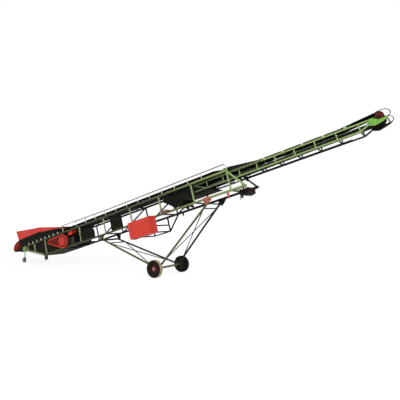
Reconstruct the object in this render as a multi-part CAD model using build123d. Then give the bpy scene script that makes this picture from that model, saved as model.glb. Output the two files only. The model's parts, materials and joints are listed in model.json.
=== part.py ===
from build123d import *
from math import asin, atan2, ceil, cos, degrees, hypot, pi, radians, sin, tan
import os

# Mobile telescopic belt conveyor. Millimetres, +Z up, floor at Z = 0, +X towards the head.
# Places on the slope are (s, y, n): s runs up the slope, n stands square to it.
# Right is -Y. What both sides share is drawn on the right and mirrored.

# Slope and its datum on the top chord, before the whole is centred
SLOPE = 15.5
DATUM_X = -3928.0
DATUM_Z = 1565.0

# Main frame: half width and depth between chord centres
CHORD = 60.0
POST = 40.0
HALF = 445.0
DEPTH = 610.0
BAY = 1320.0
BAYS = 6
TOP_END = 6640.0
LOW_END = 7110.0
KINK_S = -2240.0
TAIL_S = -3560.0
TAIL_N = -100.0
TAIL_POSTS = [-2820.0, -2110.0, -704.0]
GUSSET = 8.0
TOP_CROSS = 3
TIE_BACK = 770.0

# Pan under the tail, and the bar across its end
PAN_T = 4.0
PAN_TAIL = -3300.0
PAN_HEAD = -1000.0
TAIL_TIP = -4310.0
LIP_TOP = 40.0

# Boom
B_CHORD = 40.0
B_POST = 30.0
B_HALF = 335.0
B_TOP = -70.0
B_LOW = -270.0
B_START = 5300.0
B_BAY = 573.0
B_KINK = 10400.0
B_LAST = B_KINK - 10
B_NOSE = B_KINK + 220
B_NOSE_LOW = -170.0

# Belts and drums (s, n, radius)
BELT_T = 8.0
BELT_HALF = 300.0
TROUGH_HALF = 115.0
WING_ANGLE = 20.0
WING_RUN = 174.0
BELT_N = 92.0
BOOM_BELT_N = -66.0
EASE = 320.0
BOOM_EASE_TAIL = 400.0
BOOM_EASE_HEAD = 880.0
TAIL_DRUM = (-3990.0, -8.0, 100.0)
DRIVE_DRUM = (-960.0, -343.0, 150.0)
BEND_ROLLER = (-150.0, -34.0, 50.0)
FRONT_DRUM = (TOP_END - 80, 58.0, 34.0)
HEAD_DRUM = (B_NOSE + 275, -35.0, 102.0)
BOOM_TAIL_DRUM = (B_START + 180, -158.0, 60.0)
SHAFT = 50.0
SMALL_SHAFT = 30.0
BOOM_SHAFT = 36.0

# Idlers: many small rollers, so each has few sides
ROLLER = 50.0
ROLLER_SIDES = 16
PIN_SIDES = 6
IDLER_W = 50.0
IDLER_STEP = 1062.0
IDLER_FIRST = 146.0
IMPACT_STEP = 273.0
IMPACT_FIRST = -3140.0
IMPACTS = 8
IMPACT_TAB = 62.0
B_IDLER = 254.0

# Wheels and legs, measured from the axle
TYRE_R = 286.0
TYRE_W = 150.0
RIM_R = 160.0
TRACK = 1516.0
AXLE_D = 70.0
LEG = 50.0
BRACE_D = 30.0
PIVOT_S = 1075.0
PIVOT_N = -(DEPTH + 180)
CARRIAGE_S = 5680.0
CARRIAGE_N = -(DEPTH + 140)
PIN = 40.0
SLOT_PLAY = 15.0
STOP_REACH = 770.0

# Casters
CASTER_R = 95.0
CASTER_W = 50.0
CASTER_Y = 537.0
CASTER_TRAIL = 45.0
CASTER_S = -3350.0
CASTER_N = -95.0
STEM = 36.0
CASTER_PIN = 20.0

# Hand rail
RAIL_N = 208.0
RAIL_TAIL_N = 266.0
RAIL_BEND = 60.0
RAIL_D = 28.0
RAIL_POST_D = 22.0
RAIL_STEP = 531.0
RAIL_FIRST = -119.0
RAIL_COUNT = 12
RAIL_START = -930.0

# Hopper
HOP_BASE = 34.0
HOP_FLARE = 0.17
HOP_T = 5.0
HOP_TAIL = -3740.0
HOP_HEAD = -960.0
HOP_TOP = 745.0
HOP_SEAM = 360.0
HOP_LIP = 22.0

# Cabinet
CAB_S = 2730.0
CAB_L = 960.0
CAB_N = -(DEPTH - 10)
CAB_H = 560.0
CAB_D = 300.0
CAB_T = 4.0
DOOR_T = 18.0
HINGE_D = 14.0
HINGE_H = 46.0
HINGE_IN = 140.0

# Running clearance of shafts, between boom and frame, and of seated sheets
FIT = 0.5
SEAT = 0.3
WHEEL_FIT = 0.1
SLIDE_GAP = 6.0

# Faces worked out from the above
ANGLE = radians(SLOPE)
INNER = HALF - CHORD / 2
OUTER = HALF + CHORD / 2
LOW_FACE = -DEPTH - CHORD / 2
TAIL_RISE = (DEPTH + TAIL_N) / (KINK_S - TAIL_S)
POSTS = TAIL_POSTS + [BAY * i for i in range(BAYS)]
BOOM_IN = B_HALF - B_CHORD / 2
BOOM_OUT = B_HALF + B_CHORD / 2
BOOM_POSTS = [B_LAST - B_BAY * k for k in range(int((B_LAST - B_START) // B_BAY) + 1)]


def world(s, y, n):
    """World point of a place along, across and square to the slope."""
    return Vector(
        DATUM_X + s * cos(ANGLE) - n * sin(ANGLE),
        y,
        DATUM_Z + s * sin(ANGLE) + n * cos(ANGLE),
    )


def placed(shape):
    """From slope coordinates to the world."""
    return Pos(DATUM_X, 0, DATUM_Z) * Rot(0, -SLOPE, 0) * shape


def strut(a, b, wide, deep, side=(0, 1, 0)):
    """Rectangular bar from a to b; wide lies along side."""
    a = Vector(*a)
    run = Vector(*b) - a
    plane = Plane(origin=a, x_dir=side, z_dir=run.normalized())
    return extrude(plane * Rectangle(wide, deep), amount=run.length)


def rod(a, b, dia):
    """Round bar from a to b."""
    a = Vector(*a)
    run = Vector(*b) - a
    return extrude(Plane(origin=a, z_dir=run.normalized()) * Circle(dia / 2), amount=run.length)


def prism(a, b, dia, sides):
    """Bar with a few flat sides from a to b."""
    a = Vector(*a)
    run = Vector(*b) - a
    plane = Plane(origin=a, z_dir=run.normalized())
    return extrude(plane * RegularPolygon(dia / 2, sides), amount=run.length)


def disc(s, y0, y1, n, dia):
    """Round along Y."""
    return rod((s, y0, n), (s, y1, n), dia)


def plate(points, y, thick):
    """Flat plate in a plane along the slope, from y to y + thick."""
    plane = Plane(origin=(0, y + thick, 0), x_dir=(1, 0, 0), z_dir=(0, -1, 0))
    return extrude(plane * Polygon(*points, align=None), amount=thick, dir=(0, -1, 0))


def panel(corners, thick):
    """Sheet of any lie, given by its corners."""
    face = make_face(Polyline(*corners, close=True))
    return extrude(face, amount=thick / 2, both=True)


def block(s0, s1, y0, y1, n0, n1):
    """Box between two corners."""
    centre = ((s0 + s1) / 2, (y0 + y1) / 2, (n0 + n1) / 2)
    return Pos(*centre) * Box(abs(s1 - s0), abs(y1 - y0), abs(n1 - n0))


def joined(shapes):
    """One shape from several."""
    whole = shapes[0]
    for shape in shapes[1:]:
        whole = whole + shape
    return whole


def flip(shape):
    """The twin on the left."""
    return mirror(shape, about=Plane.XZ)


def both(shape):
    """The shape and its twin, fused where they meet."""
    return shape + flip(shape)


def twins(shape):
    """The shape and its twin as two solids."""
    return Compound(children=[shape, flip(shape)])


def between(a, b, t):
    """Point a share of the way from a to b."""
    return a + (b - a) * t


def lower(s):
    """Height of the bottom chord's centre line."""
    return TAIL_N - (s - TAIL_S) * TAIL_RISE if s < KINK_S else -DEPTH


def wrap(drums, grow, step=15):
    """Closed outline round drums (s, n, radius); a negative radius bends back."""
    count = len(drums)
    heads = []
    for i in range(count):
        s1, n1, r1 = drums[i]
        s2, n2, r2 = drums[(i + 1) % count]
        lie = atan2(n2 - n1, s2 - s1)
        heads.append(lie - asin((r2 - r1) / hypot(s2 - s1, n2 - n1)))
    points = []
    for i in range(count):
        s, n, r = drums[i]
        start = heads[i - 1]
        turn = heads[i] - start
        while turn <= -pi:
            turn += 2 * pi
        while turn > pi:
            turn -= 2 * pi
        if r > 0 and turn < 0:
            turn += 2 * pi
        steps = max(1, ceil(abs(degrees(turn)) / step))
        reach = (r + grow) / cos(turn / steps / 2)
        for k in range(steps):
            a = start + turn * (k + 0.5) / steps
            points.append((s + sin(a) * reach, n - cos(a) * reach))
    return points


def belt(drums, level, first, last, ease_tail, ease_head):
    """Belt loop, troughed at its level from first to last, flat at its end drums."""
    rise = WING_RUN * tan(radians(WING_ANGLE))
    edge = TROUGH_HALF + WING_RUN
    s1, n1, r1 = drums[0]
    s2, n2, r2 = drums[-1]

    def top(s):
        return n1 + r1 + (n2 + r2 - n1 - r1) * (s - s1) / (s2 - s1)

    def section(s, half, low, lift):
        points = [
            (-half, low + lift),
            (-TROUGH_HALF, low),
            (TROUGH_HALF, low),
            (half, low + lift),
            (half, low + lift + BELT_T),
            (TROUGH_HALF, low + BELT_T),
            (-TROUGH_HALF, low + BELT_T),
            (-half, low + lift + BELT_T),
        ]
        plane = Plane(origin=(s, 0, 0), x_dir=(0, 1, 0), z_dir=(1, 0, 0))
        return plane * Polygon(*points, align=None)

    # A flat loop round the drums gives up its top strand, and the trough takes its place
    loop = plate(wrap(drums, BELT_T), -BELT_HALF, 2 * BELT_HALF)
    loop -= plate(wrap(drums, 0), -BELT_HALF, 2 * BELT_HALF)
    tail = first - ease_tail
    head = last + ease_head
    over = BELT_T / 2
    gone = [(tail, top(tail) - over), (head, top(head) - over)]
    gone += [(head, top(head) + BELT_T + over), (tail, top(tail) + BELT_T + over)]
    loop -= plate(gone, -BELT_HALF - 1, 2 * BELT_HALF + 2)
    trough_tail = section(first, edge, level, rise)
    trough_head = section(last, edge, level, rise)
    run = extrude(trough_tail, amount=last - first)
    run += loft([section(tail, BELT_HALF, top(tail), 0), trough_tail], ruled=True)
    run += loft([trough_head, section(head, BELT_HALF, top(head), 0)], ruled=True)
    return loop + run


def drum(data, half, shaft, reach):
    """Belt drum with its shaft."""
    s, n, r = data
    return disc(s, -half, half, n, 2 * r) + disc(s, -reach, reach, n, shaft)


def bearing_block(s, n, bore, wide, high, y, thick):
    """Plummer block: foot below, rounded cap round the bore."""
    shape = block(s - wide / 2, s + wide / 2, y, y + thick, n - high, n - high / 2)
    shape += block(s - wide / 3, s + wide / 3, y, y + thick, n - high / 2, n)
    shape += disc(s, y, y + thick, n, 2 * wide / 3)
    return shape - disc(s, y - 1, y + thick + 1, n, bore)


# ---------- main frame ----------

GUIDE_D = 76.0
GUIDE_S = 6862.0
GUIDE_N = B_LOW - B_CHORD / 2 - GUIDE_D / 2 - FIT


def top_chord():
    """Top chord with the front drum's bearing lug."""
    s, n, r = FRONT_DRUM
    lug = SMALL_SHAFT
    shape = strut((TAIL_S - CHORD, -HALF, 0), (TOP_END, -HALF, 0), CHORD, CHORD)
    shape += block(s - lug, s + lug, -OUTER, -INNER, CHORD / 2, n + lug)
    return shape - disc(s, -HALF - CHORD, -HALF + CHORD, n, SMALL_SHAFT)


def frame_gussets():
    """Plates that carry the drive drum and the caster beam, with their holes."""
    s, n, r = DRIVE_DRUM
    drive = [(s - 160, -DEPTH), (s + 530, -DEPTH), (s + 530, n + 60), (s + 120, n + 60)]
    drive += [(s + 60, 0), (s - 160, 0)]
    s0, s1 = CASTER_S - 110, CASTER_S + 110
    caster = [(s0, 0), (s1, 0), (s1, lower(s1)), (s0, lower(s0))]
    shape = plate(drive, -HALF - GUSSET / 2, GUSSET)
    shape += plate(caster, -HALF - GUSSET, 2 * GUSSET)
    return shape


def side_frame(braced):
    """Bottom chord, posts, lugs and front brace of one side, drawn on the right."""
    y = -HALF
    end = TAIL_S - CHORD
    shape = strut((KINK_S - 8, y, -DEPTH), (LOW_END, y, -DEPTH), CHORD, CHORD)
    shape += strut((end, y, lower(end)), (KINK_S, y, -DEPTH), CHORD, CHORD)
    for s in POSTS:
        shape += strut((s, y, lower(s)), (s, y, 0), POST, POST)
    brace = [(TOP_END - 60, -CHORD / 2), (TOP_END, -CHORD / 2)]
    brace += [(LOW_END, -DEPTH), (LOW_END - 70, -DEPTH)]
    shape += plate(brace, y - POST / 2, POST)
    for s in (LOW_END - 340, LOW_END - 180):
        shape += strut((s, y, -DEPTH - 60), (s, y, -DEPTH), POST, POST)
    if braced:
        for i in range(1, BAYS - 1):
            shape += strut((BAY * (i - 1), y, -DEPTH), (BAY * i, y, 0), POST, POST)
        lug = CARRIAGE_S - 1500
        outline = [(lug - 35, LOW_FACE), (lug + 35, LOW_FACE)]
        outline += [(lug + 20, LOW_FACE - 90), (lug - 20, LOW_FACE - 90)]
        shape += plate(outline, y - GUSSET, 2 * GUSSET)
    shape += frame_gussets()
    # Leg pivot lugs
    ear = [(PIVOT_S - 90, LOW_FACE), (PIVOT_S + 90, LOW_FACE)]
    ear += [(PIVOT_S + 32, PIVOT_N - 32), (PIVOT_S - 32, PIVOT_N - 32)]
    for off in (-24, 16):
        shape += plate(ear, y + off, GUSSET)
    shape -= disc(PIVOT_S, y - CHORD, y + CHORD, PIVOT_N, PIN + 2 * FIT)
    # Drive drum shaft, boom guide shaft, top chord and caster beam
    shape -= disc(DRIVE_DRUM[0], y - CHORD, y + CHORD, DRIVE_DRUM[1], SHAFT)
    shape -= disc(GUIDE_S, y - 1, y + CHORD, GUIDE_N, SMALL_SHAFT)
    shape -= block(TAIL_S - 100, TOP_END + 100, y - CHORD, y + CHORD, -CHORD / 2, CHORD)
    h = CHORD / 2
    shape -= block(CASTER_S - h, CASTER_S + h, y - CHORD, y + CHORD, CASTER_N - h, CASTER_N + h)
    return shape


def cross_members():
    """Bottom bars at the posts, top bars clear of the boom, and one at the drive."""
    h = POST / 2
    bars = [
        block(s - h, s + h, -INNER, INNER, LOW_FACE, LOW_FACE + POST)
        for s in POSTS + [DRIVE_DRUM[0] - TIE_BACK]
        if s > KINK_S
    ]
    bars += [block(BAY * i - h, BAY * i + h, -INNER, INNER, -h, h / 2) for i in range(TOP_CROSS)]
    return Compound(children=bars)


# Rails for the boom's rear rollers, on the bottom cross members
RAIL_IN = HALF - 70
RAIL_T = 20.0
RAIL_TOP = LOW_FACE + POST + RAIL_T


def boom_rail():
    """Ledge along the inner face of the bottom chord."""
    return block(PIVOT_S - 475, LOW_END - 60, -INNER, -RAIL_IN, LOW_FACE + POST, RAIL_TOP)


def tail_pan():
    """Trough that closes the tail from below and at its sides."""
    top = [(PAN_TAIL, lower(PAN_TAIL) - CHORD / 2 - 2.2), (KINK_S - 6, LOW_FACE), (PAN_HEAD, LOW_FACE)]
    floor = top + [(s, n - PAN_T) for s, n in reversed(top)]
    edge = -CHORD / 2 - SEAT
    side = plate(top + [(PAN_HEAD, edge), (PAN_TAIL, edge)], -INNER + SEAT, PAN_T)
    return plate(floor, -OUTER, 2 * OUTER) + both(side)


def tail_frame():
    """Two plates past the chords with bearing blocks, and a bar across the end."""
    s, n, r = TAIL_DRUM
    outline = [(TAIL_S + 160, -28), (TAIL_S + 160, 28), (TAIL_S - 60, LIP_TOP), (TAIL_TIP, LIP_TOP)]
    outline += [(TAIL_TIP, -30), (s - 60, -90), (s + 120, -90), (TAIL_S - 60, -40)]
    shape = plate(outline, -INNER, GUSSET)
    shape += bearing_block(s, n, SHAFT, 120, 60, -INNER - 40, 40)
    shape -= disc(s, -INNER - 50, -INNER + 30, n, SHAFT)
    shape = both(shape)
    return shape + block(TAIL_TIP, TAIL_TIP + GUSSET, -INNER, INNER, -30, LIP_TOP)


# ---------- idlers ----------

def idler(s, level, arm, bar_n, bar_half, tab):
    """Three trough rollers over a flat bar, with arms at the wings and tabs at its ends."""
    low = level - ROLLER / 2
    rise = tan(radians(WING_ANGLE))
    edge = TROUGH_HALF + WING_RUN - 10
    inner_lug = TROUGH_HALF + 6
    n0 = low + rise * 16 - 2
    n1 = low + rise * (edge - TROUGH_HALF) - 2
    w = IDLER_W / 2
    shape = block(s - w, s + w, -bar_half, bar_half, bar_n - 8, bar_n)
    rollers = prism((s, -TROUGH_HALF + 2, low), (s, TROUGH_HALF - 2, low), ROLLER, ROLLER_SIDES)
    end = inner_lug - 3 - SEAT
    rollers += prism((s, -end, low), (s, end, low), 12, PIN_SIDES)
    for side in (-1, 1):
        shape += block(s - 15, s + 15, side * (inner_lug - 3), side * (inner_lug + 3), bar_n, low + 6)
        shape += block(s - 20, s + 20, side * (edge + 6), side * (edge + 12), bar_n, n1 + arm)
        if tab:
            shape += block(s - w, s + w, side * bar_half, side * (bar_half + 6), bar_n - 8, bar_n + tab)
        pin_in = (s, side * (TROUGH_HALF + 3), low)
        pin_out = (s, side * (edge + 9), n1 + rise * 9)
        shape += prism(pin_in, pin_out, 12, PIN_SIDES)
        wing_in = (s, side * (TROUGH_HALF + 16), n0)
        wing_out = (s, side * edge, n1)
        rollers += prism(wing_in, wing_out, ROLLER - 4, ROLLER_SIDES)
    return shape, rollers


def main_idlers():
    """Idlers of the main belt, closer together under the hopper."""
    spots = [IMPACT_FIRST + IMPACT_STEP * k for k in range(IMPACTS)]
    spots += [IDLER_FIRST + IDLER_STEP * k for k in range(-1, 6)]
    sets = []
    for s in spots:
        tab = IMPACT_TAB if s < HOP_HEAD else 0
        sets.append(idler(s, BELT_N, 26, CHORD / 2 + 8, HALF + 25, tab))
    return joined([a for a, b in sets]), joined([b for a, b in sets])


def boom_idlers():
    """Idlers of the boom belt, with brackets over the upper chords."""
    frames, rollers = [], []
    chord_top = B_TOP + B_CHORD / 2
    for post in BOOM_POSTS[1:]:
        s = post + B_IDLER
        if s < B_START + 1200:
            continue
        bars, rolls = idler(s, BOOM_BELT_N, 14, -118.0, BOOM_IN, 0)
        ear = block(s - 20, s + 20, -BOOM_IN, -BOOM_IN + 6, -126, chord_top + 26)
        ear += block(s - 20, s + 20, -B_HALF - 12, -BOOM_IN, chord_top, chord_top + 26)
        frames.append(bars + both(ear))
        rollers.append(rolls)
    return joined(frames), joined(rollers)


# ---------- hopper, tail guard and hand rail ----------

def wall(s, n):
    """Point in the leaning plane of the right wall."""
    return (s, -(HALF + HOP_T + (n - HOP_BASE) * HOP_FLARE), n)


def across(point):
    """The same point on the left."""
    return (point[0], -point[1], point[2])


HOP_EDGE = [(HOP_TAIL, HOP_TOP), (-2830, 612), (-2170, 530), (HOP_HEAD, 232)]
HOP_SEAM_LINE = [(HOP_TAIL, HOP_SEAM), (-2340, 378), (-2060, 330), (-1180, 240), (HOP_HEAD, 185)]


def hopper():
    """Flared walls and end wall, with a lip folded out along the top edge."""
    side = [wall(*p) for p in HOP_EDGE + HOP_SEAM_LINE[::-1]]
    shape = panel(side, HOP_T)
    for a, b in zip(HOP_EDGE, HOP_EDGE[1:]):
        pa, pb = wall(*a), wall(*b)
        out = [(s, y - HOP_LIP, n) for s, y, n in (pb, pa)]
        shape += panel([pa, pb] + out, HOP_T)
    top, seam = wall(HOP_TAIL, HOP_TOP), wall(HOP_TAIL, HOP_SEAM)
    return both(shape) + panel([seam, top, across(top), across(seam)], HOP_T)


def hopper_skirt():
    """Dark lower sheets between the hopper and the frame."""
    foot = CHORD / 2 + 8.5
    side = [wall(*p) for p in HOP_SEAM_LINE + [(HOP_HEAD, foot), (HOP_TAIL, foot)]]
    seam, low = wall(HOP_TAIL, HOP_SEAM), wall(HOP_TAIL, 150)
    return both(panel(side, HOP_T)) + panel([low, seam, across(seam), across(low)], HOP_T)


def tail_guard():
    """Bent sheet from the tail bar up to the hopper's end wall."""
    s, n = HOP_TAIL - HOP_T / 2 - SEAT, LIP_TOP + SEAT
    reach, rise, steps = s - TAIL_TIP, 330.0, 8
    turns = [pi / 2 * (1 + k / steps) for k in range(steps + 1)]
    outside = [(s + cos(a) * reach, n + sin(a) * rise) for a in turns]
    inside = [(s + cos(a) * (reach - HOP_T), n + sin(a) * (rise - HOP_T)) for a in turns]
    return plate(outside + inside[::-1], -HALF, 2 * HALF)


def hand_rail():
    """Bent tube over the right chord, on round posts."""
    end = TOP_END - 18
    bend = 2 * BAY - 940
    path = [(RAIL_START, CHORD / 2), (RAIL_START, RAIL_TAIL_N), (bend, RAIL_N + 8)]
    path += [(TOP_END - 80, RAIL_N), (end, RAIL_N - 58), (end, CHORD / 2)]
    line = FilletPolyline(*[(s, -HALF, n) for s, n in path], radius=RAIL_BEND)
    foot = Plane(origin=(RAIL_START, -HALF, CHORD / 2), z_dir=(0, 0, 1))
    shape = sweep(foot * Circle(RAIL_D / 2), path=line)
    drop = (RAIL_TAIL_N - RAIL_N - 8) / (bend - RAIL_START)
    for k in range(RAIL_COUNT):
        s = RAIL_FIRST + RAIL_STEP * k
        top = RAIL_N + 2 + max(0, bend - s) * drop
        shape += rod((s, -HALF, CHORD / 2), (s, -HALF, top), RAIL_POST_D)
    return shape


# ---------- drive ----------

GUARD_T = 90.0
GUARD_R = DRIVE_DRUM[2] + 114
GUARD_SMALL_R = 88.0
MOTOR_D = 176.0
MOTOR_FINS = 24


def drive_guard():
    """Teardrop guard outside the right frame, with a raised ring."""
    s, n, r = DRIVE_DRUM
    face = -OUTER - GUARD_T
    drums = [(s - 756, n + 149, GUARD_SMALL_R), (s, n, GUARD_R)]
    shape = plate(wrap(drums, 0, 10), face, GUARD_T)
    shape += disc(s, face - 12, face, n, 330) - disc(s, face - 13, face - 1, n, 250)
    return shape - disc(s, -OUTER - 60, -OUTER + 10, n, SHAFT + 2)


def drive_motor():
    """Finned motor with a fan cover and a terminal box, on a foot plate."""
    s = DRIVE_DRUM[0] + 360
    n = -80.0
    front, back = -INNER + 10, -130.0
    fin = (MOTOR_D - 24) / 2
    shape = disc(s, front, back, n, 2 * fin)
    shape += disc(s, front, front + 36, n, MOTOR_D) + disc(s, back - 60, back, n, MOTOR_D)
    for k in range(MOTOR_FINS):
        blade = Pos(fin + 4, 0, 0) * Box(14, back - front - 80, 5)
        shape += Pos(s, (front + back) / 2, n) * Rot(0, 360 * k / MOTOR_FINS, 0) * blade
    shape += block(s + fin - 8, s + fin + 52, front + 60, front + 170, n - 45, n + 45)
    return shape + block(s - 124, s + 110, -INNER, front, n - 110, CHORD / 2)


def gear_housing():
    """Closed case in the plane of the right frame, rounded at the top."""
    case = block(60, 720, -HALF - 40, -RAIL_IN - 20, LOW_FACE + CHORD, -235)
    return fillet(case.edges().filter_by(Axis.Y).group_by(Axis.Z)[-1], 110)


def side_panel():
    """Flat sheet with a diagonal stiffener."""
    s0, s1, low, top = 1630, 2210, LOW_FACE + CHORD, -170
    y = -HALF - 14
    sheet = block(s0, s1, -HALF - 8, -HALF, low, top)
    return sheet + strut((s0 + 30, y, low + 30), (s1 - 30, y, top - 30), 12, 30)


# ---------- front end of the main frame ----------

HOOD_Y = BOOM_OUT + 2 * SLIDE_GAP + 2
HOOD_T = 6.0
HOOD_RAIL = 24.0


def discharge_hood():
    """Sloping side sheets over the start of the boom, with a rail along the bottom."""
    s0, s1, low = TOP_END - 90, TOP_END + 1100, B_TOP
    face = -HOOD_Y - HOOD_T
    side = [(s0, 100), (TOP_END + 60, 100), (s1, low + 34), (s1, low), (s0, low)]
    shape = plate(side, face, HOOD_T)
    shape += block(TOP_END - 34, TOP_END - 4, -HALF + 15, face, CHORD / 2, CHORD / 2 + 8)
    shape += block(s0, s1, face - HOOD_RAIL, face, low, low + HOOD_RAIL)
    shape -= disc(FRONT_DRUM[0], -HALF, -HOOD_Y + 10, FRONT_DRUM[1], SMALL_SHAFT + 4)
    return both(shape) + block(TOP_END + 20, TOP_END + 50, -HOOD_Y, HOOD_Y, 66, 96)


def front_box():
    """Many-sided box on straps under the chords, with an upright pin below."""
    half = 220.0
    s, n = LOW_END, LOW_FACE
    outline = [(s - 370, n - 8), (s - 60, n - 8), (s, n - 30), (s - 50, n - 80)]
    outline += [(s - 60, n - 185), (s - 210, n - 210), (s - 370, n - 160)]
    shape = plate(outline, -half, 2 * half)
    for strap in (s - 330, s - 110):
        shape += block(strap, strap + POST, -OUTER, OUTER, n - 8, n)
    top = Vector(s - 352, -half + 14, n - 130)
    return shape + rod(top, top - Vector(sin(ANGLE), 0, cos(ANGLE)) * 160, 24)


def boom_front_rollers():
    """Shaft with the two rollers that carry the boom's bottom chords."""
    shaft = disc(GUIDE_S, -HALF, HALF, GUIDE_N, SMALL_SHAFT)
    return shaft + both(disc(GUIDE_S, -B_HALF - 22, -B_HALF + 22, GUIDE_N, GUIDE_D))


# ---------- boom ----------

def boom_frame():
    """Ladder of bottom chords and cross bars, bent up at the nose."""
    y, h = -B_HALF, B_POST / 2
    chord = strut((B_START, y, B_LOW), (B_KINK, y, B_LOW), B_CHORD, B_CHORD)
    chord += strut((B_KINK - 6, y, B_LOW), (B_NOSE, y, B_NOSE_LOW), B_CHORD, B_CHORD)
    shape = both(chord)
    for s in BOOM_POSTS:
        shape += block(s - h, s + h, -BOOM_IN, BOOM_IN, B_LOW - h, B_LOW + h)
    return shape


def boom_side():
    """Upper chord, posts and the diagonal of the tail bay."""
    y = -B_HALF
    shape = strut((B_START, y, B_TOP), (B_NOSE, y, B_TOP), B_CHORD, B_CHORD)
    for s in BOOM_POSTS:
        shape += strut((s, y, B_LOW), (s, y, B_TOP), B_POST, B_POST)
    foot = B_START + 470
    return shape + strut((B_START + 15, y, B_TOP), (foot, y, B_LOW), B_POST, B_POST)


# Tail box of the boom, with its rollers on the rails
BOX0 = 3980.0
BOX_LOW = RAIL_TOP + 43
BOX_TOP = -130.0
BOX_BELLY = -375.0
BOX_T = 10.0
BOX_NOSE = B_START + 690
BOX_PINS = (BOX0 + 490, BOX0 + 690)
REAR_D = 76.0
REAR_N = RAIL_TOP + REAR_D / 2 + FIT
REAR_IN = RAIL_IN + 5
REAR_OUT = RAIL_IN + 30


def boom_tail_box():
    """Side plates inside the chords, with a lobe down to the roller pins, belly and end sheets."""
    y = -BOOM_IN
    slant = [(BOX0, BOX_TOP - 70), (BOX0 + 320, BOX_BELLY - 50)]
    outline = slant + [(BOX0 + 440, BOX_LOW), (BOX0 + 740, BOX_LOW), (BOX0 + 830, BOX_BELLY)]
    outline += [(BOX_NOSE, BOX_BELLY), (B_START, B_TOP - B_CHORD / 2)]
    outline += [(B_START - 20, BOX_TOP), (BOX0 + 60, BOX_TOP)]
    side = plate(outline, y, BOX_T)
    s, n, r = BOOM_TAIL_DRUM
    side += block(s - 40, s + 40, y, y + BOX_T, n - 40, n + 40)
    side -= disc(s, y - 1, y + BOX_T + 1, n, BOOM_SHAFT)
    for s in BOX_PINS:
        side += disc(s, -REAR_OUT, y + BOX_T, REAR_N, SMALL_SHAFT)
        side += disc(s, y - 4, y + BOX_T, REAR_N, 2 * SMALL_SHAFT)
    shape = both(side)
    shape += block(BOX0 + 830, BOX_NOSE - 80, y, -y, BOX_BELLY, BOX_BELLY + BOX_T)
    end = slant + [(s + BOX_T, n + BOX_T) for s, n in reversed(slant)]
    return shape + plate(end, y, -2 * y)


def boom_rear_rollers():
    """Four rollers on the tail box's pins."""
    wheels = []
    for s in BOX_PINS:
        wheel = disc(s, -REAR_OUT, -REAR_IN, REAR_N, REAR_D)
        wheel -= disc(s, -REAR_OUT - 1, -REAR_IN + 1, REAR_N, SMALL_SHAFT + 2 * FIT)
        wheels += [wheel, flip(wheel)]
    return Compound(children=wheels)


# Head plates, bearings and guard bars, placed about the head drum
HEAD_T = 8.0
HEAD_Y = -BOOM_OUT - HEAD_T
BAR_D = 18.0
HEAD_SHAFT = B_HALF + 85


def head_plates():
    """Cut plates on the boom's nose, with a tie bar."""
    s, n, r = HEAD_DRUM
    outline = [(-305, -22), (-140, -8), (-94, -62), (68, -100), (222, -84), (172, -136)]
    outline += [(46, -178), (-139, -216), (-257, -178), (-305, -138)]
    side = plate([(s + ds, n + dn) for ds, dn in outline], HEAD_Y, HEAD_T)
    return both(side) + block(s + 145, s + 175, -BOOM_OUT, BOOM_OUT, n - 128, n - 100)


def head_bearings():
    """Bearing blocks of the head drum."""
    s, n, r = HEAD_DRUM
    return both(bearing_block(s, n, SHAFT, 100, 95, HEAD_Y - 17, 45))


def head_bars():
    """Bent round bar over each side of the head drum."""
    s, n, r = HEAD_DRUM
    y = HEAD_Y - BAR_D / 2
    path = [(-120, -45), (-62, 88), (60, 104), (171, 90), (240, 36), (268, -40), (205, -92)]
    line = FilletPolyline(*[(s + ds, y, n + dn) for ds, dn in path], radius=38)
    return twins(sweep(Plane(origin=line @ 0, z_dir=line % 0) * Circle(BAR_D / 2), path=line))


# ---------- cabinet, its hanging frame, and the winch ----------

CAB_BACK = -OUTER - 14
CAB_FRONT = CAB_BACK - CAB_D
HINGE_S = CAB_S - HINGE_D / 2
HINGE_Y = CAB_FRONT - 10
HINGES = (CAB_N - HINGE_IN, CAB_N - CAB_H + HINGE_IN)


def control_cabinet():
    """Open case with the lower halves of its hinges."""
    head, foot = CAB_N, CAB_N - CAB_H
    shape = block(CAB_S, CAB_S + CAB_L, CAB_FRONT, CAB_BACK, foot, head)
    for n in HINGES:
        shape += rod((HINGE_S, HINGE_Y, n - HINGE_H), (HINGE_S, HINGE_Y, n - FIT), HINGE_D)
        shape += block(CAB_S - 10, CAB_S, HINGE_Y, CAB_FRONT + 40, n - HINGE_H, n - FIT)
    s0, s1 = CAB_S + CAB_T, CAB_S + CAB_L - CAB_T
    return shape - block(s0, s1, CAB_FRONT - 1, CAB_BACK - CAB_T, foot + CAB_T, head - CAB_T)


def cabinet_door():
    """Door over the whole front, with the upper halves of its hinges."""
    face = CAB_FRONT - 1
    shape = block(CAB_S + 2, CAB_S + CAB_L - 2, face - DOOR_T, face, CAB_N - CAB_H + 2, CAB_N - 2)
    for n in HINGES:
        shape += rod((HINGE_S, HINGE_Y, n), (HINGE_S, HINGE_Y, n + HINGE_H), HINGE_D)
        shape += block(HINGE_S, CAB_S + 2, HINGE_Y - 6, HINGE_Y + 4, n, n + HINGE_H)
    return shape


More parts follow.
